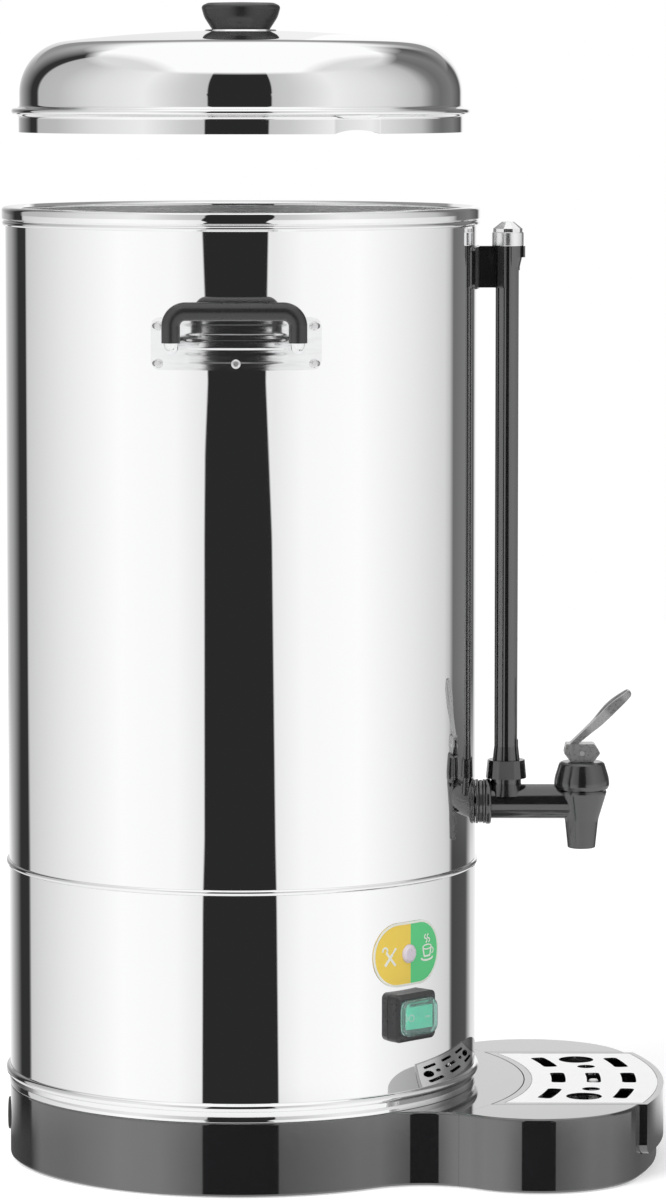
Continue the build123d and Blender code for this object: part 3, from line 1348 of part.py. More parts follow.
def dome(inset=0.0):
    """Domed body above the lid's wall: a round shoulder arc that runs into a flat crown arc."""
    shoulder = (SKIRT_R - LID_STEP - SHOULDER_R, DOME_FOOT_Z)
    crown_r = LID_DOME_H**2 + shoulder[0] ** 2 - SHOULDER_R**2
    crown_r /= 2 * (LID_DOME_H - SHOULDER_R)
    crown = (0, DOME_TOP_Z - crown_r)
    join = atan2(shoulder[0], shoulder[1] - crown[1])
    side = [leaning(shoulder, SHOULDER_R - inset, lean) for lean in (pi / 2, (pi / 2 + join) / 2, join)]
    top = [leaning(crown, crown_r - inset, lean) for lean in (join, join / 2, 0)]
    floor = Line((0, DOME_FOOT_Z), side[0])
    axis = Line(top[2], (0, DOME_FOOT_Z))
    face = make_face([floor, ThreePointArc(*side), ThreePointArc(*top), axis])
    return revolve(Plane.XZ * face, Axis.Z)


def lid_shell():
    """Domed lid: skirt with two locking notches, folded bead, round shoulder and a raised pad."""
    bead_z = LID_BEAD_Z
    skirt_z = bead_z - SKIRT_H
    wall_r = SKIRT_R - LID_STEP
    outer = turned([
        (0, skirt_z),
        (SKIRT_R, skirt_z),
        (SKIRT_R, bead_z - LID_BEAD_HALF, LID_ROOT_R),
        (SKIRT_R + LID_BEAD_PROUD, bead_z - LID_BEAD_HALF, LID_BEAD_HALF * 0.95),
        (SKIRT_R + LID_BEAD_PROUD, bead_z + LID_BEAD_HALF, LID_BEAD_HALF * 0.95),
        (wall_r, bead_z + LID_BEAD_HALF, LID_ROOT_R),
        (wall_r, DOME_FOOT_Z),
        (0, DOME_FOOT_Z),
    ])
    outer += dome()
    outer += upright(PAD_R, DOME_TOP_Z - 1, PAD_Z)
    inner_r = SKIRT_R - LID_T
    inner = turned([
        (0, skirt_z - 1),
        (inner_r, skirt_z - 1),
        (inner_r, bead_z - 1),
        (wall_r - LID_T, bead_z),
        (wall_r - LID_T, DOME_FOOT_Z),
        (0, DOME_FOOT_Z),
    ])
    inner += dome(LID_T)
    inner += upright(PAD_R - LID_T, DOME_TOP_Z - 2, PAD_Z - LID_T)
    lid = outer - inner
    for turn in (0, 180):
        lid = lid_notch(lid, NOTCH_AT + turn, skirt_z)
    return lid - upright(KNOB_SCREW_R + SEAT, PAD_Z - LID_T, PAD_Z)


def lid_notch(lid, angle, skirt_z):
    """Press one locking notch into the skirt: a panel bent the other way, arched along its lower edge."""
    half = NOTCH_WIDE / 2
    top = LID_BEAD_Z - LID_BEAD_HALF
    sunk = sqrt(SKIRT_R**2 - half**2) - SKIRT_R + NOTCH_DEEP
    bend_r = (half**2 + sunk**2) / (2 * sunk)
    bend_x = SKIRT_R - NOTCH_DEEP + bend_r
    turn = Rot(0, 0, angle)
    wide = block(0, 2 * BARREL_R, -half, half, skirt_z, top)
    lid -= turn * (upright(bend_r, skirt_z, top, bend_x) & wide)
    sheet = ring(bend_r + LID_T, bend_r, skirt_z, top, bend_x) & upright(SKIRT_R, skirt_z, top)
    ledge = upright(bend_r + LID_T, top - LID_T, top, bend_x) & upright(SKIRT_R, top - LID_T, top)
    arch_r = (half**2 + NOTCH_RISE**2) / (2 * NOTCH_RISE)
    arch = level(arch_r, SKIRT_R - 10, SKIRT_R + 10, 0, skirt_z + NOTCH_RISE - arch_r)
    return lid + turn * (sheet + ledge) - turn * arch


def lid_knob():
    """Turned knob with a waist that swells to a rounded, slightly crowned top."""
    knob = turned([
        (0, PAD_Z),
        (KNOB_FOOT_R, PAD_Z, 0.4),
        (KNOB_R - 1.8, PAD_Z + KNOB_H * 0.45, 12),
        (KNOB_R, PAD_Z + KNOB_H - 2.2, 2.2),
        (KNOB_R - 4, PAD_Z + KNOB_H - 0.4, 3),
        (0, PAD_Z + KNOB_H),
    ])
    return knob - upright(KNOB_SCREW_R + FIT, PAD_Z, PAD_Z + KNOB_SCREW_IN + PLAY)


def knob_screw():
    """Screw up through the lid into the knob."""
    head = PAD_Z - LID_T - KNOB_WASHER_T
    shank = upright(KNOB_SCREW_R, head, PAD_Z + KNOB_SCREW_IN)
    return shank + upright(2 * KNOB_SCREW_R, head - KNOB_SCREW_R, head)


def knob_washer():
    """Washer under the screw's head, inside the lid."""
    top = PAD_Z - LID_T
    return ring(KNOB_WASHER_R, KNOB_SCREW_R + SEAT, top - KNOB_WASHER_T, top)


# ---------------------------------------------------------------- assembly
def handle_set(name, turn):
    """The four pieces of one carrying handle, turned to its side."""
    pieces = {
        "plate": handle_plate(),
        "arms": handle_arms(),
        "grip": handle_grip(),
        "rivets": handle_rivets(),
    }
    return {f"{name}_handle_{piece}": Rot(0, 0, turn) * shape for piece, shape in pieces.items()}


def urn():
    """Every sub-part of the urn by name."""
    parts = {
        "base_housing": base_housing(),
        "base_lobe": base_lobe(),
        "tray_bay": tray_bay(),
        "centring_ring": centring_ring(),
        "base_cover": base_cover(),
        "base_screws": base_screws(),
        "rubber_feet": rubber_feet(),
        "cord_gland": cord_gland(),
        "lower_shell": lower_shell(),
        "upper_shell": upper_shell(),
        "rim_ring": rim_ring(),
        "inner_tank": inner_tank(),
        "tank_floor": tank_floor(),
        "lock_lugs": lock_lugs(),
        "heat_spreader": heat_spreader(),
        "heating_element": heating_element(),
        "clamp_bridge": clamp_bridge(),
        "bridge_nut": bridge_nut(),
        "thermostat": disc_thermostat(1),
        "boil_dry_cutout": disc_thermostat(-1),
        "terminal_block": terminal_block(),
        "label_plate": label_plate(),
        "indicator_lens": indicator_lens(),
        "indicator_body": indicator_body(),
        "switch_bezel": switch_bezel(),
        "switch_boot": switch_boot(),
        "switch_rocker": switch_rocker(),
        "switch_body": switch_body(),
        "gauge_bracket": gauge_bracket(),
        "bracket_screws": bracket_screws(),
        "gauge_guard": gauge_guard(),
        "gauge_tube": gauge_tube(),
        "gauge_nut": gauge_nut(),
        "gauge_seal": gauge_seal(),
        "gauge_cap": gauge_cap(),
        "tap_washer": tap_washer(),
        "tap_seal": tap_seal(),
        "tap_back_nut": tap_back_nut(),
        "tap_body": tap_body(),
        "tap_bonnet": tap_bonnet(),
        "valve_stem": valve_stem(),
        "seat_cup": seat_cup(),
        "valve_spring": valve_spring(),
        "lever_pin": lever_pin(),
        "tap_lever": tap_lever(),
        "tray_pan": tray_pan(),
        "drip_grid": drip_grid(),
        "level_float": level_float(),
        "lid_shell": lid_shell(),
        "lid_knob": lid_knob(),
        "knob_screw": knob_screw(),
        "knob_washer": knob_washer(),
    }
    parts.update(handle_set("front", -90))
    parts.update(handle_set("back", 90))
    return parts


os.makedirs("parts", exist_ok=True)
for node, shape in urn().items():
    export_step(shape, f"parts/{node}.step")
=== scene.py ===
# %% [markdown]
# # A hot water urn
# The urn is a tall double-walled barrel of polished stainless steel on a black moulded base. It has a
# lever tap with a level gauge standing on it, two carrying handles, a lift-off lid and a drip tray.
# The solids come from a finished construction model, which is loaded as a fixed frame. What is left for
# this lesson is what a camera sees: metal that mirrors a studio, black plastic, glass, rubber, and the
# small printed and stamped details that are too fine for the construction.

# %% Load the frame
from math import asin, atan2, cos, pi, radians, sin, sqrt, tan
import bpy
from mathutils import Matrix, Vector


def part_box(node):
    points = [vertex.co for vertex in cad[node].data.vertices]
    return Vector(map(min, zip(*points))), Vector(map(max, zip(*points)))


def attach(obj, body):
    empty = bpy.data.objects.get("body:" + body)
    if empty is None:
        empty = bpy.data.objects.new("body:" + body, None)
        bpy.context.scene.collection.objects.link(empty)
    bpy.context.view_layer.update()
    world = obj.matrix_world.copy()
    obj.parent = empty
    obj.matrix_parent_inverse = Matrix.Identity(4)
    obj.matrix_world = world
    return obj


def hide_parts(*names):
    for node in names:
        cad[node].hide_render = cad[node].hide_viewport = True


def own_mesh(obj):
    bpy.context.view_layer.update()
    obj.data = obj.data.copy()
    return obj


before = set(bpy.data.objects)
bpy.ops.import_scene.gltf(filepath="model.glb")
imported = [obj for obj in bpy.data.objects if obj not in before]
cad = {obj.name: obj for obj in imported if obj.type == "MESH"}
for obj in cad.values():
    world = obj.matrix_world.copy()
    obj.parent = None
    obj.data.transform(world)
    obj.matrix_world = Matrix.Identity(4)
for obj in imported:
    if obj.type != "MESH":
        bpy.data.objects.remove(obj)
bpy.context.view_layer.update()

# %% [markdown]
# Blender works in metres. The urn's sizes below are in mm, and MM turns them into metres.

# %% Tools of the trade
import bmesh
import bpy
from mathutils import Matrix, Vector

MM = 0.001
scene = bpy.context.scene
print("construction nodes:", len(cad))

# %% [markdown]
# ## Camera
# A product picture of an urn is taken from far away with a long lens, so that its sides stay nearly
# parallel. The camera stands three metres off, a little above half height, and looks slightly down. It
# could be aimed with a Track To constraint, but two plain angles say the same and never drift.

# %% Place the camera
CAMERA_FAR = 3.0439
CAMERA_UP = 0.6279
CAMERA_AROUND = 1.3  # degrees, from straight in front of the front handle towards the tap
CAMERA_DOWN = 5.695
CAMERA_TURN = 0.303
FOCAL = 157.8

camera = bpy.data.objects.new("camera", bpy.data.cameras.new("camera"))
camera.data.lens = FOCAL
camera.data.clip_end = 50
around = radians(CAMERA_AROUND)
camera.location = (CAMERA_FAR * sin(around), -CAMERA_FAR * cos(around), CAMERA_UP)
camera.rotation_euler = (radians(90 - CAMERA_DOWN), 0, radians(CAMERA_TURN))
scene.collection.objects.link(camera)
scene.camera = camera
scene.view_settings.view_transform = "Standard"
print("camera at", [round(v, 3) for v in camera.location])

# %% [markdown]
# ## Studio
# Polished steel has no colour of its own: it shows the room. A product studio has a tall white light
# panel left and right, a black pillar between them behind the camera, a white ceiling light, and darker
# corners behind the product. Real panels could be built around the urn, but then they would show in views
# from behind. The world is painted with them instead, by compass direction and by height.

# %% Node helpers
def add_node(tree, kind, inputs, **settings):
    """New node; its inputs, by name or number, are values or other nodes' sockets."""
    node = tree.nodes.new(kind)
    for name, value in settings.items():
        setattr(node, name, value)
    for name, value in inputs.items():
        if isinstance(value, bpy.types.NodeSocket):
            tree.links.new(value, node.inputs[name])
        else:
            node.inputs[name].default_value = value
    return node


def math_node(tree, operation, *values):
    """Math node on numbers or other nodes' sockets."""
    return add_node(tree, "ShaderNodeMath", dict(enumerate(values)), operation=operation).outputs[0]


def blend_node(tree, share, first, second):
    """Mix of two greys, colours or sockets by a share from 0 to 1."""
    inputs = {"Factor": share}
    for name, value in (("A", first), ("B", second)):
        if isinstance(value, float):
            value = (value, value, value)
        inputs[name] = (*value, 1) if isinstance(value, tuple) else value
    return add_node(tree, "ShaderNodeMix", inputs, data_type="RGBA").outputs["Result"]


def ramp_node(tree, source, stops):
    """Colour ramp of greys: (place, grey) from 0 to 1."""
    node = add_node(tree, "ShaderNodeValToRGB", {0: source})
    ramp = node.color_ramp
    while len(ramp.elements) < len(stops):
        ramp.elements.new(0.5)
    for element, (place, grey) in zip(ramp.elements, stops):
        element.position = place
        element.color = (grey, grey, grey, 1)
    return node.outputs[0]


print("node helpers")

# %% [markdown]
# ### Walls
# A pair of numbers says how bright the studio is in one direction. The two light panels have the same
# shape: dimmest beside the pillar between them, brightest in the middle, and dimmer again at their far
# ends. The left one ends at a dark gap, the right one in the shade beside the tap, and behind both is the
# back wall. Above the horizon, where mostly the lid mirrors them, the panels are dimmer.

# %% Light panels
LIGHT = [(17, 0.83), (31, 0.96), (60, 1.0), (92, 0.83), (119, 0.66)]  # degrees off the front, brightness
LID_LIGHT = [(16, 0.54), (27, 0.6), (50, 0.85), (80, 0.72), (108, 0.5)]
BACK_LEFT = [(-180, 1.0), (-158, 0.46), (-150, 0.34), (-138.5, 0.03), (-129, 0.03)]
LOW_BACK_LEFT = [(-180, 1.0), (-165, 0.9), (-150, 0.35), (-140, 0.03), (-128.5, 0.03)]
LID_BACK_LEFT = [(-180, 0.9), (-160, 0.4), (-138, 0.03), (-130, 0.03)]
BACK_RIGHT = [(128, 0.15), (143, 0.2), (160, 0.08), (167, 0.9), (180, 1.0)]
LOW_BACK_RIGHT = [(127, 0.06), (146, 0.08), (156, 0.7), (180, 1.0)]


def both_sides(light):
    """Stops of a light panel on the left and of its twin on the right."""
    return [(-turn, grey) for turn, grey in light[::-1]] + light


# Each row goes round: back wall, left light's end, both lights, right light's end, back wall.
WALLS = BACK_LEFT + [(-127.8, 0.6)] + both_sides(LIGHT) + [(124, 0.5)] + BACK_RIGHT
LOW_WALLS = LOW_BACK_LEFT + [(-126.5, 0.6)] + both_sides(LIGHT) + [(124, 0.6)] + LOW_BACK_RIGHT
LID_WALLS = LID_BACK_LEFT + [(-128, 0.46)] + both_sides(LID_LIGHT) + [(120, 0.2)] + BACK_RIGHT
TABLE_EDGE = [
    (-128, 0.1), (-118, 0.5), (-95, 0.62), (-62, 1.0), (-40, 0.95), (-17, 0.5),
    (18, 0.4), (60, 0.75), (88, 0.68), (112, 0.42), (140, 0.2), (180, 0.1),
]
print("stops in a row:", len(WALLS))

# %% [markdown]
# ### Directions
# The world's texture coordinates are a direction. Two of its parts give the compass angle, and the third
# gives the height.

# %% Find each direction's place
world = bpy.data.worlds.new("studio")
scene.world = world
world.use_nodes = True
tree = world.node_tree
tree.nodes.clear()
direction = tree.nodes.new("ShaderNodeTexCoord").outputs["Generated"]
axes = add_node(tree, "ShaderNodeSeparateXYZ", {0: direction})
behind = math_node(tree, "MULTIPLY", axes.outputs[1], -1.0)
compass = math_node(tree, "ARCTAN2", axes.outputs[0], behind)
share = math_node(tree, "MULTIPLY_ADD", compass, 1 / (2 * pi), 0.5)
height = math_node(tree, "MULTIPLY", math_node(tree, "ARCSINE", axes.outputs[2]), 180 / pi)


def row(stops):
    """One row of walls: a colour ramp round the compass."""
    return ramp_node(tree, share, [(0.5 + turn / 360, grey) for turn, grey in stops])


walls, low_walls = row(WALLS), row(LOW_WALLS)
lid_walls, table_edge = row(LID_WALLS), row(TABLE_EDGE)
print("world nodes so far:", len(tree.nodes))

# %% [markdown]
# ### Levels
# The rows are stacked by height, and each blends into the next over a degree or two.

# %% Stack the rows
TABLE_END = (-11.5, -11.1)  # heights in degrees between which one row gives way to the next
LOW_WALLS_END = (-8.5, -6.5)
WALLS_END = (-1.2, -0.7)


def slide(source, low, high):
    """0 below one value, 1 above another, and in between in proportion."""
    spread = add_node(tree, "ShaderNodeMapRange", {"Value": source, "From Min": low, "From Max": high})
    return spread.outputs[0]


sides = blend_node(tree, slide(height, *TABLE_END), table_edge, low_walls)
sides = blend_node(tree, slide(height, *LOW_WALLS_END), sides, walls)
sides = blend_node(tree, slide(height, *WALLS_END), sides, lid_walls)
print("rows change at", TABLE_END[0], LOW_WALLS_END[0], WALLS_END[0], "degrees")

# %% [markdown]
# ### Black pillar and table
# A black pillar stands between the light panels, behind the camera. Rolled sheet is never quite flat, and
# its slight waves show where a straight edge is mirrored in it. Waves could be pressed into the barrel's
# mesh, which would be truer, but they are too shallow to set by eye. The pillar's own edges waver instead.
# Under everything lies the table's white, with a little of the walls in it, so that the steel keeps some
# shape from above.

# %% Stand the pillar
PILLAR = [  # height in degrees, how far it reaches to the left and to the right
    (-11.3, 18.4, 18.8),
    (-9.0, 17.9, 17.9),
    (-8.3, 17.0, 17.3),
    (-5.0, 16.7, 15.8),
    (-4.1, 16.3, 14.3),
    (-3.3, 14.8, 12.9),
    (-1.5, 17.6, 14.3),
    (0.0, 17.0, 16.0),
    (2.0, 15.8, 17.0),
]
PILLAR_LOW, PILLAR_HIGH = -12.0, 4.0
PILLAR_MOST = 20.0
PILLAR_SOFT = 0.4
PILLAR_GREY = 0.022
TABLE_TOP = (-16.0, -13.5)
TABLE_WHITE = 0.95
TABLE_SHARE = 0.3  # how much of the walls still shows in the table


def pillar_edge(side):
    """How many degrees the pillar reaches to a side: 1 is left and 2 is right."""
    level = slide(height, PILLAR_LOW, PILLAR_HIGH)
    spread = PILLAR_HIGH - PILLAR_LOW
    stops = [((line[0] - PILLAR_LOW) / spread, line[side] / PILLAR_MOST) for line in PILLAR]
    return math_node(tree, "MULTIPLY", ramp_node(tree, level, stops), PILLAR_MOST)


in_degrees = math_node(tree, "MULTIPLY", compass, 180 / pi)
left_in = slide(math_node(tree, "ADD", in_degrees, pillar_edge(1)), -PILLAR_SOFT, PILLAR_SOFT)
right_in = slide(math_node(tree, "SUBTRACT", pillar_edge(2), in_degrees), -PILLAR_SOFT, PILLAR_SOFT)
sides = blend_node(tree, math_node(tree, "MULTIPLY", left_in, right_in), sides, PILLAR_GREY)
table = blend_node(tree, TABLE_SHARE, TABLE_WHITE, low_walls)
sides = blend_node(tree, slide(height, *TABLE_TOP), table, sides)
print("pillar drawn through", len(PILLAR), "heights")

# %% [markdown]
# ### Ceiling
# The ceiling light runs from front to back over the urn, with a paler grey ceiling on both sides. Behind
# the urn it hangs lower, and there the corner of the room under it is dark.

# %% Hang the ceiling light
CEILING_FROM = (41.0, 47.0)  # heights in degrees between which it begins
CEILING_SIDE = (0.44, 0.56)  # how far left or right it reaches, as a share of the direction
SIDE_GREY = 0.72
DROP_BEHIND = (0.6, 0.95)  # where it hangs lower, as a share of the direction that points back
CEILING_DROP = 15.0
CORNER_BEHIND = (0.8, 0.9)
CORNER_FROM = (13.0, 15.0)
CORNER_GREY = 0.28

aside = math_node(tree, "ABSOLUTE", axes.outputs[0])
ceiling = blend_node(tree, slide(aside, *CEILING_SIDE), 1.0, SIDE_GREY)
drop = math_node(tree, "MULTIPLY", slide(axes.outputs[1], *DROP_BEHIND), CEILING_DROP)
over_urn = math_node(tree, "ADD", height, drop)
in_corner = math_node(tree, "MULTIPLY", slide(axes.outputs[1], *CORNER_BEHIND), slide(height, *CORNER_FROM))
sides = blend_node(tree, in_corner, sides, CORNER_GREY)
studio_colour = blend_node(tree, slide(over_urn, *CEILING_FROM), sides, ceiling)
print("ceiling from", CEILING_FROM[0], "degrees up")

# %% [markdown]
# The camera, and what it sees through glass, get plain white. Everything else, and so every mirror, gets
# the painted studio.

# %% Join the studio to the world
PLAIN_LEVEL = 1.0

studio = add_node(tree, "ShaderNodeBackground", {"Color": studio_colour, "Strength": PLAIN_LEVEL})
white = add_node(tree, "ShaderNodeBackground", {"Color": (1, 1, 1, 1)})
path = tree.nodes.new("ShaderNodeLightPath")
sees_white = math_node(tree, "MAXIMUM", path.outputs["Is Camera Ray"], path.outputs["Is Transmission Ray"])
seen = {0: sees_white, 1: studio.outputs[0], 2: white.outputs[0]}
chooser = add_node(tree, "ShaderNodeMixShader", seen)
add_node(tree, "ShaderNodeOutputWorld", {0: chooser.outputs[0]})
print("world nodes:", len(tree.nodes))

# %% [markdown]
# ### Lamp
# A soft lamp from the upper left models the round forms and lights the coloured pieces. It is large, so
# that its shadow has no hard edge, and mirrors don't show it: they show the painted studio.

# %% Hang a soft lamp
LAMP_SIZE = 1.6
LAMP_POWER = 50
LAMP_PLACE = (-1.4, -1.6, 2.2)
LAMP_AIM = Vector((0, 0, 0.35))

lamp = bpy.data.objects.new("soft_lamp", bpy.data.lights.new("soft_lamp", "AREA"))
lamp.data.size = LAMP_SIZE
lamp.data.energy = LAMP_POWER
lamp.location = LAMP_PLACE
lamp.rotation_euler = (LAMP_AIM - Vector(LAMP_PLACE)).to_track_quat("-Z", "Y").to_euler()
lamp.visible_glossy = False
scene.collection.objects.link(lamp)
print("lamp of", LAMP_POWER, "W")

# %% [markdown]
# ## Floor
# The urn stands on a white table that melts into the white background. The floor's own colour is kept
# pale, and the camera sees it at full white except where the urn shades it. Polished metal looks
# straight past it to the studio, as it would on a narrow table.

# %% Lay the floor
FLOOR_HALF = 3.0
FLOOR_COLOUR = (0.8, 0.8, 0.8, 1)
FLOOR_GLOW = 0.42

floor_mesh = bpy.data.meshes.new("floor")
corners = [(FLOOR_HALF * x, FLOOR_HALF * y, 0) for x, y in ((-1, -1), (1, -1), (1, 1), (-1, 1))]
floor_mesh.from_pydata(corners, [], [(0, 1, 2, 3)])
floor = bpy.data.objects.new("floor", floor_mesh)
scene.collection.objects.link(floor)
paint = bpy.data.materials.new("white_table")
paint.use_nodes = True
tree = paint.node_tree
tree.nodes.clear()
path = tree.nodes.new("ShaderNodeLightPath")
matt = add_node(tree, "ShaderNodeBsdfDiffuse", {"Color": FLOOR_COLOUR})
shine = math_node(tree, "MULTIPLY", path.outputs["Is Camera Ray"], FLOOR_GLOW)
glow = add_node(tree, "ShaderNodeEmission", {"Strength": shine})
both = add_node(tree, "ShaderNodeAddShader", {0: matt.outputs[0], 1: glow.outputs[0]})
clear = tree.nodes.new("ShaderNodeBsdfTransparent")
seen = {0: path.outputs["Is Glossy Ray"], 1: both.outputs[0], 2: clear.outputs[0]}
chooser = add_node(tree, "ShaderNodeMixShader", seen)
add_node(tree, "ShaderNodeOutputMaterial", {0: chooser.outputs[0]})
floor.data.materials.append(paint)
print("floor", 2 * FLOOR_HALF, "m wide")

# %% [markdown]
# ## Finishes
# Every finish is one Principled shader with a little noise in it. No real surface is even: sheet has the
# faint grain of its rolling, moulded plastic has the skin of its mould, rubber is dusty. A picture of
# the surface could be wrapped round each piece, but noise in the object's own space needs no
# unwrapping and stays sharp at any distance.

# %% Shader and noise
def start_finish(name, colour, roughness, metallic=0.0, ior=1.5):
    """New material and its Principled shader."""
    material = bpy.data.materials.new(name)
    material.use_nodes = True
    shader = material.node_tree.nodes["Principled BSDF"]
    shader.inputs["Base Color"].default_value = (*colour, 1)
    shader.inputs["Roughness"].default_value = roughness
    shader.inputs["Metallic"].default_value = metallic
    shader.inputs["IOR"].default_value = ior
    return material, shader


def grain(material, scale, stretch=(1, 1, 1), detail=3.0):
    """Noise in the object's own space, in lumps of 1/scale metres, stretched along an axis."""
    tree = material.node_tree
    place = tree.nodes.new("ShaderNodeTexCoord").outputs["Object"]
    place = add_node(tree, "ShaderNodeMapping", {"Vector": place, "Scale": stretch}).outputs[0]
    noise = add_node(tree, "ShaderNodeTexNoise", {"Vector": place, "Scale": scale, "Detail": detail})
    return noise.outputs["Fac"]


print("shader and noise helpers")

# %% [markdown]
# The noise can do three things: vary the roughness, vary the colour, and dent the surface.

# %% Noise at work
def vary_roughness(material, shader, source, low, high):
    """The noise moves the roughness between two values."""
    tree = material.node_tree
    limits = {"From Min": 0.3, "From Max": 0.7, "To Min": low, "To Max": high}
    spread = add_node(tree, "ShaderNodeMapRange", {"Value": source, **limits})
    tree.links.new(spread.outputs[0], shader.inputs["Roughness"])


def vary_colour(material, shader, source, dark, light):
    """The noise moves the colour between a darker and a lighter tone."""
    tree = material.node_tree
    tree.links.new(blend_node(tree, source, dark, light), shader.inputs["Base Color"])


def dent(material, shader, source, depth):
    """The noise dents the surface by this many millimetres."""
    tree = material.node_tree
    bump = add_node(tree, "ShaderNodeBump", {"Height": source, "Distance": depth * MM})
    tree.links.new(bump.outputs[0], shader.inputs["Normal"])


print("three uses of noise")

# %% [markdown]
# Most finishes are the same recipe with other numbers: one noise for the gloss and, where the surface can
# be felt, for its dents.

# %% Whole finishes
def make_finish(name, colour, roughness, lumps, gloss, depth=0.0, stretch=(1, 1, 1), **kind):
    """Finish with noise in its gloss and, down to a depth in mm, in its surface."""
    material, shader = start_finish(name, colour, roughness, **kind)
    noise = grain(material, lumps, stretch=stretch)
    vary_roughness(material, shader, noise, *gloss)
    if depth:
        dent(material, shader, noise, depth)
    return material, shader


def wear(material, *names):
    """Give this finish to construction nodes."""
    for name in names:
        for slot in cad[name].material_slots:
            slot.material = material
    print(material.name, "on", ", ".join(names))


# %% [markdown]
# ### Mirror-polished stainless
# The barrel, the rim and the lid are stainless sheet, buffed until it mirrors. Buffing leaves a haze that
# runs round the barrel, so a reflection is a little softer in one band than in the next. The roughness
# drifts slowly with height, and a much finer grain blurs the edges of what is mirrored.

# %% Mirror steel
mirror_steel, shader = start_finish("mirror_steel", (0.97, 0.972, 0.975), 0.03, metallic=1.0)
haze = grain(mirror_steel, 9.0, stretch=(1, 1, 6))
vary_roughness(mirror_steel, shader, haze, 0.012, 0.03)
fine = grain(mirror_steel, 140.0, stretch=(1, 1, 0.2))
dent(mirror_steel, shader, fine, 0.001)
print(mirror_steel.name, "of", len(mirror_steel.node_tree.nodes), "nodes")

# %% [markdown]
# ### Satin stainless
# The small steel pieces are left as they come from the press: grey, with a short grain. Stretching the
# noise hard along one axis draws that grain. The handle plates are the same steel, but nearly polished.

# %% Satin steel
satin_steel, shader = make_finish(
    "satin_steel", (0.74, 0.75, 0.76), 0.28, 60.0, (0.2, 0.34), depth=0.01, stretch=(1, 1, 14), metallic=1.0
)
wear(satin_steel, "tank_floor", "lock_lugs", "heating_element")
wear(satin_steel, "tap_back_nut", "valve_stem", "valve_spring")

plate_steel, shader = make_finish(
    "plate_steel", (0.9, 0.905, 0.91), 0.1, 80.0, (0.08, 0.16), depth=0.004, stretch=(1, 1, 8), metallic=1.0
)
wear(plate_steel, "front_handle_plate", "back_handle_plate")

# %% [markdown]
# ### Tank and drip grid
# Light gets into the deep tank only by bouncing from wall to wall, and a renderer stops counting bounces
# early, so a fully metallic tank would come out black. Its brushed steel scatters light, and a little over
# half metallic stands for that. The drip grid is wiped every day and is nearly a mirror.

# %% Tank and grid steel
tank_steel, shader = make_finish(
    "tank_steel", (0.9, 0.9, 0.905), 0.3, 60.0, (0.2, 0.3), stretch=(1, 1, 14), metallic=0.55
)
wear(tank_steel, "inner_tank")

grid_steel, shader = make_finish(
    "grid_steel", (0.98, 0.98, 0.98), 0.12, 120.0, (0.1, 0.16), depth=0.002, stretch=(1, 12, 1), metallic=1.0
)
wear(grid_steel, "drip_grid")

# %% [markdown]
# ### Bright plating, zinc and aluminium
# The gauge's cap and the handles' arms are chromed, screws and rivets are plated, the cover under the
# base is zinc-coated, and the disc that spreads the heat is bare aluminium. They differ in tone and in how
# sharply they mirror.

# %% Plated and bare metals
chrome, shader = make_finish("chrome_plate", (0.93, 0.935, 0.94), 0.06, 40.0, (0.04, 0.08), metallic=1.0)
wear(chrome, "front_handle_arms", "back_handle_arms")

matt_chrome, shader = make_finish("matt_chrome", (0.95, 0.95, 0.955), 0.25, 60.0, (0.2, 0.3), metallic=1.0)
wear(matt_chrome, "gauge_cap")

plated, shader = make_finish("plated_steel", (0.85, 0.85, 0.86), 0.35, 200.0, (0.3, 0.42), metallic=1.0)
wear(plated, "base_screws", "bracket_screws", "bridge_nut", "lever_pin", "knob_screw", "knob_washer")
wear(plated, "front_handle_rivets", "back_handle_rivets")

zinc, shader = start_finish("zinc_sheet", (0.62, 0.63, 0.64), 0.35, metallic=1.0)
spangle = grain(zinc, 45.0, detail=1.0)
vary_roughness(zinc, shader, spangle, 0.28, 0.45)
vary_colour(zinc, shader, spangle, (0.55, 0.56, 0.57), (0.7, 0.71, 0.72))
wear(zinc, "base_cover", "clamp_bridge")

aluminium, shader = make_finish(
    "bare_aluminium", (0.78, 0.79, 0.8), 0.3, 90.0, (0.24, 0.38), stretch=(8, 1, 1), metallic=1.0
)
wear(aluminium, "heat_spreader")

# %% [markdown]
# ### Black mouldings
# Base, tray, tap, gauge guard, grips and knob are moulded in a hard black plastic. The base and tray have
# a high gloss: they mirror the studio more than ordinary plastic does, so the index of refraction is set
# high and a clear coat lies on top.

# %% Base and tray
BLACK = (0.012, 0.012, 0.013)

black_gloss, shader = make_finish("black_gloss", BLACK, 0.05, 260.0, (0.03, 0.06), depth=0.002, ior=2.2)
shader.inputs["Coat Weight"].default_value = 1.0
shader.inputs["Coat Roughness"].default_value = 0.03
wear(black_gloss, "base_housing", "base_lobe", "tray_bay", "centring_ring", "tray_pan")

# %% [markdown]
# The tap is a little duller than the base and the gauge's guard is as glossy. The lever's plastic is black,
# but it is given a lighter grey as a painted sheen for the light it mirrors.

# %% Tap and gauge
tap_black, shader = make_finish("tap_black", BLACK, 0.14, 120.0, (0.1, 0.2), ior=2.1)
wear(tap_black, "tap_body", "tap_bonnet", "gauge_bracket", "gauge_nut")

tube_black, shader = make_finish("tube_black", BLACK, 0.05, 120.0, (0.04, 0.08), ior=2.2)
wear(tube_black, "gauge_guard")

# The lever's grey colour is a painted sheen: it stands in for the light that its black plastic mirrors.
lever_painted_sheen, shader = make_finish(
    "lever_painted_sheen", (0.18, 0.18, 0.18), 0.3, 500.0, (0.2, 0.4), depth=0.03, stretch=(1, 4, 1), ior=2.6
)
shader.inputs["Coat Weight"].default_value = 1.0
shader.inputs["Coat Roughness"].default_value = 0.22
wear(lever_painted_sheen, "tap_lever")

# %% [markdown]
# ### Softer blacks
# The switch bezel, the grips and the knob have a fine matt skin from their mould, and the inside pieces
# are plain dull plastic.

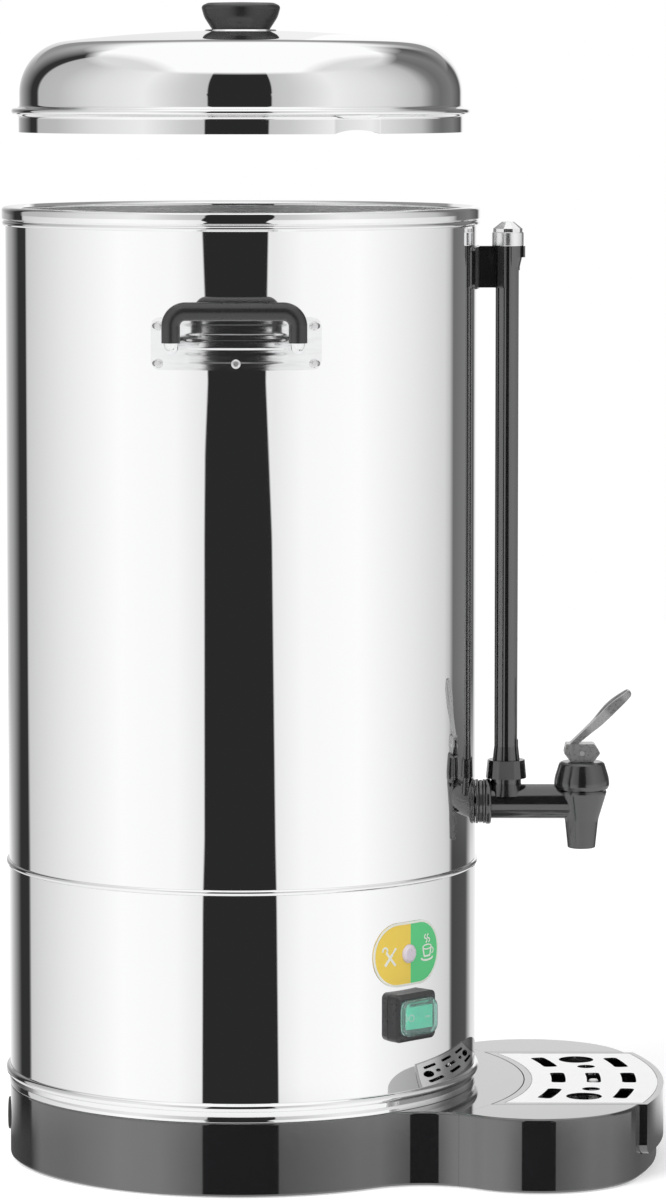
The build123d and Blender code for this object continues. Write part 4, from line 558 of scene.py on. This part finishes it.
# %% Softer black plastics
black_bezel, shader = make_finish(
    "black_bezel", (0.045, 0.045, 0.047), 0.3, 420.0, (0.25, 0.38), depth=0.006
)
wear(black_bezel, "switch_bezel")

black_satin, shader = make_finish(
    "black_satin", (0.016, 0.016, 0.017), 0.3, 420.0, (0.26, 0.34), depth=0.002, ior=1.7
)
wear(black_satin, "lid_knob", "front_handle_grip", "back_handle_grip")

dull_plastic, shader = make_finish(
    "dull_plastic", (0.05, 0.05, 0.05), 0.55, 300.0, (0.48, 0.65), depth=0.02
)
wear(dull_plastic, "cord_gland", "indicator_body", "switch_body", "thermostat", "boil_dry_cutout")

# %% [markdown]
# ### White plastic, silicone and rubber
# The float and the terminal block are white plastic and the valve's cup is silicone. Washers, seals
# and feet are black rubber, which is never quite clean: its colour is mottled as well as its gloss.

# %% Whites and rubber
white_plastic, shader = make_finish("white_plastic", (0.85, 0.85, 0.83), 0.3, 300.0, (0.25, 0.4))
wear(white_plastic, "level_float", "terminal_block")

silicone, shader = make_finish("white_silicone", (0.82, 0.82, 0.8), 0.5, 200.0, (0.42, 0.6))
wear(silicone, "seat_cup")

rubber, shader = start_finish("black_rubber", (0.03, 0.03, 0.03), 0.55)
dust = grain(rubber, 150.0)
vary_roughness(rubber, shader, dust, 0.45, 0.7)
vary_colour(rubber, shader, dust, (0.018, 0.018, 0.018), (0.045, 0.045, 0.044))
wear(rubber, "rubber_feet", "gauge_seal", "tap_seal")

# %% [markdown]
# ### Clear and coloured plastics
# The gauge's tube is glass. The status lamp has a frosted lens, and the switch has a green rocker under a
# clear soft boot with a teal tint. Transmission with a little roughness gives the milky look of soft
# vinyl.

# %% Glass, lens, boot and rocker
glass, shader = make_finish("gauge_glass", (0.95, 0.98, 0.97), 0.02, 60.0, (0.01, 0.04), ior=1.47)
shader.inputs["Transmission Weight"].default_value = 1.0
wear(glass, "gauge_tube")

lens, shader = make_finish("frosted_lens", (0.86, 0.78, 0.86), 0.3, 400.0, (0.22, 0.4))
shader.inputs["Transmission Weight"].default_value = 0.1
wear(lens, "indicator_lens")

boot, shader = make_finish("soft_boot", (0.72, 0.96, 0.9), 0.06, 250.0, (0.08, 0.2), ior=1.4)
shader.inputs["Transmission Weight"].default_value = 0.88
wear(boot, "switch_boot")

green, shader = make_finish("green_rocker", (0.14, 0.97, 0.68), 0.25, 300.0, (0.18, 0.32))
wear(green, "switch_rocker")

# %% [markdown]
# ### The two-coloured label
# The status label is a printed film: yellow on the side that means service, green on the side that means
# ready. The colour is chosen by where a point lies across the label. That is a plain sum of two of the
# object's own coordinates, because the label faces half way between the front handle and the tap.

# %% Label film
YELLOW = (1.0, 0.72, 0.1)
GREEN = (0.11, 0.72, 0.26)
SPLIT_AT = 1.3  # mm to the right of the label's middle


def in_mm(corners):
    """Lowest and highest corner of a box, in mm."""
    return [Vector(corner) / MM for corner in corners]


label_low, label_high = in_mm(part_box("label_plate"))
label_z = (label_low.z + label_high.z) / 2
label_film, shader = start_finish("label_film", YELLOW, 0.25)
tree = label_film.node_tree
place = tree.nodes.new("ShaderNodeTexCoord").outputs["Object"]
axes = add_node(tree, "ShaderNodeSeparateXYZ", {0: place})
both_axes = math_node(tree, "ADD", axes.outputs[0], axes.outputs[1])
across = math_node(tree, "MULTIPLY", both_axes, 1 / (sqrt(2) * MM))
green_side = math_node(tree, "GREATER_THAN", across, SPLIT_AT)
tree.links.new(blend_node(tree, green_side, YELLOW, GREEN), shader.inputs["Base Color"])
vary_roughness(label_film, shader, grain(label_film, 500.0), 0.22, 0.26)
wear(label_film, "label_plate")
print("label's middle is", round(label_z, 1), "mm above the floor")

# %% [markdown]
# ## Turned sheet
# The barrel, the rim and the lid are spun or rolled, so each is a profile turned round the urn's axis.
# The construction solids have the same profiles, but a mirror shows every facet of them. Turning the
# profile again with many more steps, and with rounded beads, keeps the reflections clean. A Screw modifier
# could do the turning. A loop that places the rings itself is used instead, because the lid's pressed
# notches then only have to move some of its points.

# %% Profiles
def rounded(corners, steps=8):
    """Profile through corners (radius, height) in mm; a third number rounds the corner."""
    points = []
    for index, corner in enumerate(corners):
        here = Vector(corner[:2])
        if len(corner) == 2:
            points.append(here)
            continue
        back = (Vector(corners[index - 1][:2]) - here).normalized()
        fore = (Vector(corners[(index + 1) % len(corners)][:2]) - here).normalized()
        half = back.angle(fore) / 2
        middle = here + (back + fore).normalized() * corner[2] / sin(half)
        first = here + back * corner[2] / tan(half) - middle
        last = here + fore * corner[2] / tan(half) - middle
        start = atan2(first.y, first.x)
        sweep = (atan2(last.y, last.x) - start + pi) % (2 * pi) - pi
        for step in range(steps + 1):
            angle = start + sweep * step / steps
            points.append(middle + corner[2] * Vector((cos(angle), sin(angle))))
    return points


def arc(centre, radius, start, end, steps):
    """Points of an arc, its angles in degrees."""
    turns = [radians(start + (end - start) * step / steps) for step in range(steps + 1)]
    return [Vector((centre[0] + radius * cos(turn), centre[1] + radius * sin(turn))) for turn in turns]


print("a quarter arc in 8 steps has", len(arc((0, 0), 1, 0, 90, 8)), "points")

# %% [markdown]
# Every piece ends up as a mesh that is smooth except at its sharp edges.

# %% Turned pieces
TURN_STEPS = 360


def even_turn():
    """Angles of an evenly stepped turn, in radians."""
    return [2 * pi * step / TURN_STEPS for step in range(TURN_STEPS)]


def new_piece(name, points, faces, finish):
    """Mesh object from points in mm, smooth except at its sharp edges."""
    mesh = bpy.data.meshes.new(name)
    mesh.from_pydata([Vector(point) * MM for point in points], [], faces)
    shape = bmesh.new()
    shape.from_mesh(mesh)
    bmesh.ops.recalc_face_normals(shape, faces=shape.faces)
    shape.to_mesh(mesh)
    shape.free()
    mesh.shade_smooth()
    mesh.set_sharp_from_angle(angle=radians(40))
    mesh.materials.append(finish)
    piece = bpy.data.objects.new(name, mesh)
    scene.collection.objects.link(piece)
    return piece


def turned_piece(name, profile, angles, finish, press=None):
    """Closed profile turned round the urn's axis; press may move each point."""
    points = []
    for angle in angles:
        for radius, height in profile:
            point = Vector((radius * cos(angle), radius * sin(angle), height))
            points.append(press(point) if press else point)
    rows, cols = len(angles), len(profile)
    faces = []
    for row in range(rows):
        after = (row + 1) % rows
        for col in range(cols):
            right = (col + 1) % cols
            faces.append((row * cols + col, after * cols + col, after * cols + right, row * cols + right))
    piece = new_piece(name, points, faces, finish)
    print(name, "with", len(faces), "faces")
    return piece


# %% [markdown]
# ### Barrel
# The upper barrel ends in a rolled bead that grips the lower one. The bead is half a circle in section: its
# upper half mirrors the ceiling and its lower half the table, and that is why a rolled bead reads as one
# light and one dark line. The lower barrel has a fuller bead above the base and a thicker foot.

# %% Upper barrel
BARREL_R = 136.0
SHEET = 0.8
SEAM_Z = 173.3
FLANGE_Z = 549.2
BEAD_R = 1.6

upper_profile = [Vector((BARREL_R - SHEET, SEAM_Z - BEAD_R))]
upper_profile += arc((BARREL_R - 0.1, SEAM_Z), BEAD_R, -90, 86, 14)
upper_profile += [Vector((BARREL_R, FLANGE_Z)), Vector((BARREL_R - SHEET, FLANGE_Z))]
upper_barrel = turned_piece("upper_barrel", upper_profile, even_turn(), mirror_steel)
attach(upper_barrel, "urn")
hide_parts("upper_shell")

# %% [markdown]
# The lower barrel's neck goes up inside the upper one, and the bead's grip hides the joint.

# %% Lower barrel
BASE_TOP = 43.0
LOW_BEAD_Z = BASE_TOP + 8.4
LOW_BEAD_R = 2.6
NECK_UP = 8.0
below_bead = SEAM_Z - 1.7
neck_r = BARREL_R - SHEET - 0.1
lower_profile = rounded([
    (BARREL_R - SHEET, BASE_TOP),
    (BARREL_R + 0.5, BASE_TOP, 0.3),
    (BARREL_R + 0.1, BASE_TOP + 4.5, 0.2),
])
lower_profile += arc((BARREL_R - 0.3, LOW_BEAD_Z), LOW_BEAD_R, -83, 83, 16)
lower_profile += [
    Vector((BARREL_R, below_bead)),
    Vector((neck_r, below_bead)),
    Vector((neck_r, SEAM_Z + NECK_UP)),
    Vector((neck_r - SHEET, SEAM_Z + NECK_UP)),
    Vector((neck_r - SHEET, SEAM_Z - 4.0)),
    Vector((BARREL_R - SHEET, SEAM_Z - 6.0)),
]
lower_barrel = turned_piece("lower_barrel", lower_profile, even_turn(), mirror_steel)
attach(lower_barrel, "urn")
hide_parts("lower_shell")

# %% [markdown]
# ### Rim ring
# The ring clasps the barrel's edge. From below it has a rolled bead, a short skirt, a fuller band with
# rounded edges, and then it slopes gently in to the tank's mouth.

# %% Rim ring
RIM_Z = 542.0
TOP_Z = 553.0
MOUTH_R = 129.3

rim_profile = [Vector((BARREL_R + 0.1, RIM_Z))]
rim_profile += arc((BARREL_R + 0.2, RIM_Z + 1.6), 1.6, -90, 50, 12)
rim_profile += rounded([
    (BARREL_R + 1.2, RIM_Z + 3.0),
    (BARREL_R + 1.2, RIM_Z + 3.6, 0.3),
    (BARREL_R + 2.1, RIM_Z + 4.2, 0.4),
    (BARREL_R + 2.1, TOP_Z - 0.6, 2.0),
    (BARREL_R - 1.0, TOP_Z, 1.5),
    (MOUTH_R, TOP_Z - 1.6, 0.6),
    (MOUTH_R, FLANGE_Z + SHEET),
    (BARREL_R + 0.1, FLANGE_Z + SHEET),
])
rim = turned_piece("rim", rim_profile, even_turn(), mirror_steel)
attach(rim, "urn")
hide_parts("rim_ring")

# %% [markdown]
# ### Lid
# The lid is one pressing: a skirt that drops into the mouth, a folded bead that rests on the rim, a round
# shoulder and a nearly flat crown with a small raised pad. Two notches are pressed into the skirt, where
# the lugs in the mouth lock it. Each notch is a panel bent the other way, arched along its lower edge. It
# could be cut with a boolean, but moving the turned points keeps the sheet whole and the mirror smooth.

# %% Lid profile
LID_BEAD_Z = 607.5
BEAD_FOOT_Z = LID_BEAD_Z - 3.9
BEAD_HALF = 1.7  # half of the bead's height
BEAD_OUT = 4.1
SKIRT_R = 128.0
SKIRT_Z = LID_BEAD_Z - 12.0
LID_T = 0.9
DOME_FOOT_Z = 617.7
DOME_TOP_Z = 653.7
SHOULDER_R = 30.0
PAD_R = 20.5
PAD_UP = 0.5
wall_r = SKIRT_R - 0.5
shoulder_x = wall_r - SHOULDER_R
dome_high = DOME_TOP_Z - DOME_FOOT_Z
crown_r = (dome_high**2 + shoulder_x**2 - SHOULDER_R**2) / (2 * (dome_high - SHOULDER_R))
crown_z = DOME_TOP_Z - crown_r
join = atan2(DOME_FOOT_Z - crown_z, shoulder_x) * 180 / pi


def crown_points(inset, radii):
    """Points of the crown's arc at these radii, moved in by the inset."""
    return [Vector((radius, crown_z + sqrt((crown_r - inset) ** 2 - radius**2))) for radius in radii]


CROWN_RADII = [shoulder_x * part / 20 for part in range(20, 4, -1)]
HOLE_R = 2.6  # for the knob's screw
pad_z = DOME_TOP_Z + PAD_UP
skirt = [Vector((SKIRT_R, SKIRT_Z + step)) for step in (0.0, 1.5, 3.0, 4.5, 6.0, 7.0, 7.6, 8.0)]
bead = rounded([
    (SKIRT_R, BEAD_FOOT_Z),
    (SKIRT_R, LID_BEAD_Z - BEAD_HALF, 2.1),
    (SKIRT_R + BEAD_OUT, LID_BEAD_Z - BEAD_HALF, 1.6),
    (SKIRT_R + BEAD_OUT, LID_BEAD_Z + BEAD_HALF, 1.6),
    (wall_r, LID_BEAD_Z + BEAD_HALF, 2.1),
    (wall_r, DOME_FOOT_Z),
], 10)[1:-1]
outside = skirt + bead
outside += arc((shoulder_x, DOME_FOOT_Z), SHOULDER_R, 0, join, 28)
outside += crown_points(0, CROWN_RADII[1:])
outside += rounded([(PAD_R + 0.6, DOME_TOP_Z - 0.3), (PAD_R, pad_z, 0.3), (HOLE_R, pad_z)])
inside = [Vector((HOLE_R, pad_z - LID_T)), Vector((PAD_R - LID_T, pad_z - LID_T))]
inside += crown_points(LID_T, CROWN_RADII[::-1])
inside += arc((shoulder_x, DOME_FOOT_Z), SHOULDER_R - LID_T, join, 0, 14)
inside += [Vector((wall_r - LID_T, LID_BEAD_Z)), Vector((SKIRT_R - LID_T, LID_BEAD_Z - 1.0))]
inside += [Vector((SKIRT_R - LID_T, point.y)) for point in skirt[::-1]]
print("lid profile of", len(outside) + len(inside), "points")

# %% [markdown]
# ### Notches of the lid
# Seen from above, each notch is an arc bent inward, and its lower edge is an arch. The radius of both
# follows from their width and depth.

# %% Press the notches
NOTCH_AT = [-58.0, 122.0]
NOTCH_WIDE = 30.0
NOTCH_DEEP = 2.4
NOTCH_RISE = 2.2
NOTCH_TOP = BEAD_FOOT_Z
NOTCH_END = LID_BEAD_Z - 1.9
NOTCH_FADE = 1.6  # height over which the notch runs out under the bead
half_wide = NOTCH_WIDE / 2
sunk = sqrt(SKIRT_R**2 - half_wide**2) - SKIRT_R + NOTCH_DEEP
bend_r = (half_wide**2 + sunk**2) / (2 * sunk)
arch_r = (half_wide**2 + NOTCH_RISE**2) / (2 * NOTCH_RISE)


def press_notch(point):
    """Move a point of the lid's skirt into the notch that it lies in."""
    if point.z > LID_BEAD_Z - 1.8 or point.xy.length > SKIRT_R + 1.4:
        return point
    for at in NOTCH_AT:
        turn = Matrix.Rotation(radians(-at), 3, "Z")
        local = turn @ point
        if local.x < 0 or abs(local.y) >= half_wide:
            continue
        pressed_x = SKIRT_R - NOTCH_DEEP + bend_r - sqrt(bend_r**2 - local.y**2)
        depth = sqrt(SKIRT_R**2 - local.y**2) - pressed_x
        fade = min(max((NOTCH_END - local.z) / NOTCH_FADE, 0.0), 1.0)
        local.x -= depth * fade
        if local.z < NOTCH_TOP:
            edge_up = NOTCH_RISE - arch_r + sqrt(arch_r**2 - local.y**2)
            local.z += edge_up * (NOTCH_TOP - local.z) / (NOTCH_TOP - SKIRT_Z)
        return turn.transposed() @ local
    return point


notch_turn = asin(half_wide / SKIRT_R)
angles = even_turn()
for at in NOTCH_AT:
    middle = radians(at) % (2 * pi)
    angles += [middle + notch_turn * part / 20 for part in range(-21, 22)]
angles = sorted(set(round(angle, 5) for angle in angles))
lid = turned_piece("lid_pressing", outside + inside, angles, mirror_steel, press_notch)
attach(lid, "lid")
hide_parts("lid_shell")

# %% [markdown]
# ## Marks on the label and the switch
# The yellow half carries crossed tools and the green half a steaming cup on its saucer. The rocker has a
# ring for off and a bar for on. Printed marks could be a texture, but thin shapes laid on the surface stay
# sharp and need no image. Each mark is a set of strokes drawn flat, in millimetres across and up, which a
# small function then bends round the barrel or lays on the rocker.

# %% Flat strokes
PRINT_T = 0.12


def bar(start, end, wide_start, wide_end=None):
    """Outline of a straight stroke that may taper."""
    start, end = Vector(start), Vector(end)
    side = Vector((start.y - end.y, end.x - start.x)).normalized() / 2
    at_start = side * wide_start
    at_end = side * (wide_start if wide_end is None else wide_end)
    return [start + at_start, end + at_end, end - at_end, start - at_start]


def stroke(points, wide):
    """Bars along a line of points."""
    return [bar(first, second, wide) for first, second in zip(points, points[1:])]


def curl(middle, radius, start, end, wide, flat=1.0):
    """Bars along an arc, flattened where it is an ellipse."""
    line = arc((0, 0), radius, start, end, 16)
    return stroke([Vector((middle[0] + point.x, middle[1] + flat * point.y)) for point in line], wide)


def printed(name, strokes, lay, finish, body):
    """Thin piece from strokes; lay gives a stroke point's place at a height above the surface."""
    points, faces = [], []
    for outline in strokes:
        first = len(points)
        count = len(outline)
        for lift in (-PRINT_T / 2, PRINT_T):
            points += [lay(point.x, point.y, lift) for point in outline]
        faces.append([first + index for index in range(count)][::-1])
        faces.append([first + count + index for index in range(count)])
        for index in range(count):
            after = (index + 1) % count
            faces.append([first + index, first + after, first + count + after, first + count + index])
    piece = new_piece(name, points, faces, finish)
    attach(piece, body)
    print(name, "of", len(strokes), "strokes")
    return piece


# %% [markdown]
# Everything on the label is laid at its face, which is measured from the construction.

# %% Lay strokes on the label
PANEL_AT = radians(-45)
LABEL_FACE = max(Vector(vertex.co).xy.length for vertex in cad["label_plate"].data.vertices) / MM

print_white, shader = make_finish("print_white", (0.93, 0.95, 0.88), 0.35, 600.0, (0.3, 0.45))


def on_label(across, up, lift):
    """Point on the label, bent round the barrel."""
    radius = LABEL_FACE + lift
    turn = PANEL_AT + across / LABEL_FACE
    return Vector((radius * cos(turn), radius * sin(turn), label_z + up))


def moved(strokes, place):
    """Strokes moved to a place on the label."""
    return [[point + Vector(place) for point in outline] for outline in strokes]


print("label's face is", round(LABEL_FACE, 1), "mm from the axis")

# %% [markdown]
# The tools are a tapered blade and a hooked spanner.

# %% Tools
TOOLS_AT = (-14.5, -1.2)

tools = [bar((-3.6, -4.2), (1.6, 2.0), 1.6), bar((1.6, 2.0), (4.4, 5.4), 0.9, 1.4)]
tools += [bar((4.0, -4.6), (-2.6, 3.2), 1.4)]
tools += curl((-3.6, 4.5), 1.7, 200, -60, 1.1)
label_tools = printed("label_tools", moved(tools, TOOLS_AT), on_label, print_white, "urn")

# %% [markdown]
# A pale border runs round the film's edge. Short steps let its straight sides bend with the barrel.

# %% Border
BORDER_WIDE = 1.3
BORDER_X, BORDER_UP = 26.3, 18.3  # half of its outer width and height
BORDER_BEND = 17.8
BORDER_STEP = 1.5

line_bend = BORDER_BEND - BORDER_WIDE / 2
corner_x, corner_up = BORDER_X - BORDER_BEND, BORDER_UP - BORDER_BEND
border = []
for side_x, side_up, start in ((1, 1, 0), (-1, 1, 90), (-1, -1, 180), (1, -1, 270)):
    border += arc((side_x * corner_x, side_up * corner_up), line_bend, start, start + 90, 18)
smooth_border = []
for first, second in zip(border, border[1:] + border[:1]):
    steps = max(1, round((second - first).length / BORDER_STEP))
    smooth_border += [first + (second - first) * step / steps for step in range(steps)]
edge = stroke(smooth_border + smooth_border[:1], BORDER_WIDE)
label_border = printed("label_border", edge, on_label, print_white, "urn")

# %% [markdown]
# The cup has slanted sides, an ellipse for its mouth, a saucer, a handle and two wisps of steam.

# %% Cup
CUP_AT = (15.5, 0.5)

cup = [bar((side * 2.6, -3.4), (side * 3.8, 1.6), 1.0) for side in (-1, 1)]
cup += [bar((-2.8, -3.6), (2.8, -3.6), 1.0)]
cup += curl((0, 1.6), 3.8, 0, 360, 0.7, 0.35)
cup += curl((0, -4.4), 5.2, 180, 360, 1.1, 0.3)
cup += curl((4.2, -0.8), 1.6, -90, 90, 0.7)
for across in (-1.2, 1.2):
    cup += curl((across, 5.4), 1.1, -90, 90, 0.8)
    cup += curl((across, 7.6), 1.1, 90, 270, 0.8)
label_cup = printed("label_cup", moved(cup, CUP_AT), on_label, print_white, "urn")

# %% [markdown]
# ### Ring and bar
# The rocker's face is two flats that fall away from a shallow ridge, and at rest the whole rocker is tipped
# to its off side. So a mark is laid on the flats first and then tipped with the rocker about its pivot.

# %% Ring and bar on the rocker
SWITCH_Z = 97.3
PIVOT_R = 140.4  # the rocker's pivot from the barrel's axis
FACE_UP = 5.4  # the ridge's sharp crown before the pivot
RIDGE_FALL = 0.5
FACE_FALL = 1.26  # fall at the face's ends
FACE_HALF = 10.3
ROCKER_TILT = radians(7)


def on_rocker(across, up, lift):
    """Point on the rocker's two slanted flats, tipped to its off side."""
    fall = RIDGE_FALL + (FACE_FALL - RIDGE_FALL) * abs(across) / FACE_HALF
    flat = Vector((FACE_UP - fall + lift, across, up))
    tipped = Matrix.Rotation(-ROCKER_TILT, 3, "Z") @ flat
    return Matrix.Rotation(PANEL_AT, 3, "Z") @ (tipped + Vector((PIVOT_R, 0, SWITCH_Z)))


marks = curl((-5.6, 0), 1.8, 0, 360, 0.9) + [bar((4.2, 0), (7.6, 0), 1.0)]
rocker_marks = printed("rocker_marks", marks, on_rocker, print_white, "rocker")

# %% [markdown]
# ## Handle plates
# Each carrying handle is held by a thin steel plate that is stamped with lengthwise rolls between its
# rivets, so that it doesn't flex. The rolls are what breaks up the mirror behind the grip. They could be
# cut as separate rods, but stamping moves one sheet, so here a grid of points is bent round the barrel and
# pushed out by a curve that depends on the height.

# %% Shape of the stamping
PLATE_WIDE = 96.0
PLATE_HIGH = 29.0
PLATE_CORNER = 5.0
PLATE_T = 1.2
PLATE_BACK_R = BARREL_R + 0.02
ROLLS = ((-7.8, 2.8, 0.12), (-0.3, 2.7, 0.26), (8.0, 3.0, 0.12))  # middle, half height and lift
ROLL_HALF = 29.0
ROLL_FADE = 4.0  # over which the rolls run out at their ends
COLUMNS, ROWS = 96, 58


def stamped(across, up):
    """How far the rolls lift the sheet."""
    lift = 0.0
    for middle, half, most in ROLLS:
        away = min(1.0, abs(up - middle) / half)
        lift = max(lift, most * (1 - away**6))
    past = min(1.0, max(0.0, (abs(across) - ROLL_HALF) / ROLL_FADE + 1))
    return lift * (1 - past * past * (3 - 2 * past))


print("highest roll", max(most for middle, half, most in ROLLS), "mm")

# %% [markdown]
# Each crossing of the grid has a back point and a front one, which the rolls push out.

# %% Stamped plates
def plate_points(middle_z, facing):
    """Grid of points bent round the barrel: a back and a front one at each column and row."""
    points = []
    for column in range(COLUMNS + 1):
        across = PLATE_WIDE * (column / COLUMNS - 0.5)
        into_corner = max(0.0, abs(across) - PLATE_WIDE / 2 + PLATE_CORNER)
        half = PLATE_HIGH / 2 - PLATE_CORNER + sqrt(max(0.0, PLATE_CORNER**2 - into_corner**2))
        turn = radians(facing) + across / BARREL_R
        for row in range(ROWS + 1):
            up = half * (2 * row / ROWS - 1)
            for radius in (PLATE_BACK_R, PLATE_BACK_R + PLATE_T + stamped(across, up)):
                points.append(Vector((radius * cos(turn), radius * sin(turn), middle_z + up)))
    return points


def spot(column, row, face):
    """Number of a point of that grid; face is 0 at the back and 1 at the front."""
    return (column * (ROWS + 1) + row) * 2 + face


def plate_faces():
    """Both faces of the sheet and its four edges."""
    faces = []
    for column in range(COLUMNS):
        for row in range(ROWS):
            for face in (0, 1):
                low = [spot(column, row, face), spot(column + 1, row, face)]
                faces.append(low + [spot(column + 1, row + 1, face), spot(column, row + 1, face)])
        for row in (0, ROWS):
            start = [spot(column, row, 0), spot(column, row, 1)]
            faces.append(start + [spot(column + 1, row, 1), spot(column + 1, row, 0)])
    for row in range(ROWS):
        for column in (0, COLUMNS):
            start = [spot(column, row, 0), spot(column, row, 1)]
            faces.append(start + [spot(column, row + 1, 1), spot(column, row + 1, 0)])
    return faces


def stamped_plate(name, facing, replaced):
    """Sheet with rounded corners bent round the barrel at a handle's place."""
    low, high = in_mm(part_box(replaced))
    points = plate_points((low.z + high.z) / 2, facing)
    faces = plate_faces()
    plate = new_piece(name, points, faces, plate_steel)
    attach(plate, "urn")
    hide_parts(replaced)
    print(name, "with", len(faces), "faces")


for side, facing in (("front", -90), ("back", 90)):
    stamped_plate(side + "_plate_sheet", facing, side + "_handle_plate")

# %% [markdown]
# ## Bush for the cord
# The cord leaves through a bush on the side away from the tap. It sits almost flush with the base, as a
# thin flange, and is turned like the other round pieces.

# %% Cord bush
GLAND_R = 7.0
GLAND_FACE_R = 9.5
GLAND_BORE_R = 3.75
GLAND_DEEP = 8.6
FACE_BACK = 0.6
FACE_PROUD = 1.3
FACE_EDGE_R = 0.6
bush_low, bush_high = in_mm(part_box("cord_gland"))
bush_z = (bush_low.z + bush_high.z) / 2
bush_profile = rounded([
    (GLAND_BORE_R, -GLAND_DEEP),
    (GLAND_R, -GLAND_DEEP),
    (GLAND_R, -FACE_BACK),
    (GLAND_FACE_R, -FACE_BACK),
    (GLAND_FACE_R, FACE_PROUD, FACE_EDGE_R),
    (GLAND_BORE_R, FACE_PROUD, FACE_EDGE_R),
])


def out_of_side(point):
    """Lay a ring that was turned upright on the base's side, facing out."""
    return Vector((-BARREL_R - point.z, point.y, bush_z + point.x))


cord_bush = turned_piece("cord_bush", bush_profile, even_turn()[::6], dull_plastic, out_of_side)
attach(cord_bush, "urn")
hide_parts("cord_gland")

# %% [markdown]
# ## Spring in the tap
# The valve is pushed down by a coil spring between its seat cup and the bonnet. It can't be seen, but when
# the lever lifts the valve the coils have to close up. A rigid coil would cut through the cup, so the
# spring is drawn again as a round wire along a helix, which can be squashed.

# %% Wire of the spring
SPRING_WIRE = 0.6
SPRING_TURNS = 5
WIRE_SIDES = 10
STEPS_A_TURN = 36
spring_low, spring_high = in_mm(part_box("valve_spring"))
spring_middle = (spring_low + spring_high) / 2
spring_r = (spring_high.y - spring_low.y) / 2 - SPRING_WIRE
coil_low, coil_high = spring_low.z + SPRING_WIRE, spring_high.z - SPRING_WIRE
wire_points, wire_faces = [], []
coil_steps = SPRING_TURNS * STEPS_A_TURN
for step in range(coil_steps + 1):
    turn = 2 * pi * step / STEPS_A_TURN
    up = coil_low + (coil_high - coil_low) * step / coil_steps
    for side in range(WIRE_SIDES):
        around = 2 * pi * side / WIRE_SIDES
        radius = spring_r + SPRING_WIRE * cos(around)
        wire_points.append(Vector((
            spring_middle.x + radius * cos(turn),
            radius * sin(turn),
            up + SPRING_WIRE * sin(around),
        )))
for step in range(coil_steps):
    first, second = step * WIRE_SIDES, (step + 1) * WIRE_SIDES
    for side in range(WIRE_SIDES):
        after = (side + 1) % WIRE_SIDES
        wire_faces.append((first + side, first + after, second + after, second + side))
wire_faces.append(tuple(range(WIRE_SIDES)))
wire_faces.append(tuple(coil_steps * WIRE_SIDES + side for side in range(WIRE_SIDES)))
print("wire with", len(wire_faces), "faces")

# %% [markdown]
# The coil's top rests on the bonnet.

spring_coil = new_piece("spring_coil", wire_points, wire_faces, satin_steel)
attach(spring_coil, "urn")
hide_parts("valve_spring")
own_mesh(spring_coil)

# %% [markdown]
# ## Washer of the tap
# Between the barrel and the tap's collar sits a stack of rings: two full ones and a slightly smaller one
# between them. The construction has them as one washer. Turned from one profile with two grooves, they
# still make one piece.

# %% Tap washer
WASHER_BORE = 9.1
WASHER_T = 5.4
WASHER_EDGE_R = 0.6
RING_EDGE_R = 0.5
GROOVE = 1.2
RING_DROP = 0.5  # middle ring within the outer ones
washer_low, washer_high = in_mm(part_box("tap_washer"))
washer_r = (washer_high.z - washer_low.z) / 2
washer_z = (washer_high.z + washer_low.z) / 2
front = washer_high.x
back = front - WASHER_T
washer_profile = rounded([
    (WASHER_BORE, back),
    (washer_r, back, WASHER_EDGE_R),
    (washer_r, back + 1.3, WASHER_EDGE_R),
    (washer_r - GROOVE, back + 1.7),
    (washer_r - RING_DROP, back + 2.0, RING_EDGE_R),
    (washer_r - RING_DROP, front - 1.7, RING_EDGE_R),
    (washer_r - GROOVE, front - 1.4),
    (washer_r, front - 1.2, RING_EDGE_R),
    (washer_r, front, RING_EDGE_R),
    (WASHER_BORE, front),
])
shiny_rubber, shader = make_finish("shiny_rubber", (0.05, 0.05, 0.05), 0.2, 300.0, (0.12, 0.26), ior=2.0)


def on_tap_axis(point):
    """Lay a ring that was turned round the upright axis on the tap's level one."""
    return Vector((point.z, point.y, washer_z - point.x))


washer = turned_piece("washer_stack", washer_profile, even_turn()[::4], shiny_rubber, on_tap_axis)
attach(washer, "urn")
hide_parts("tap_washer")
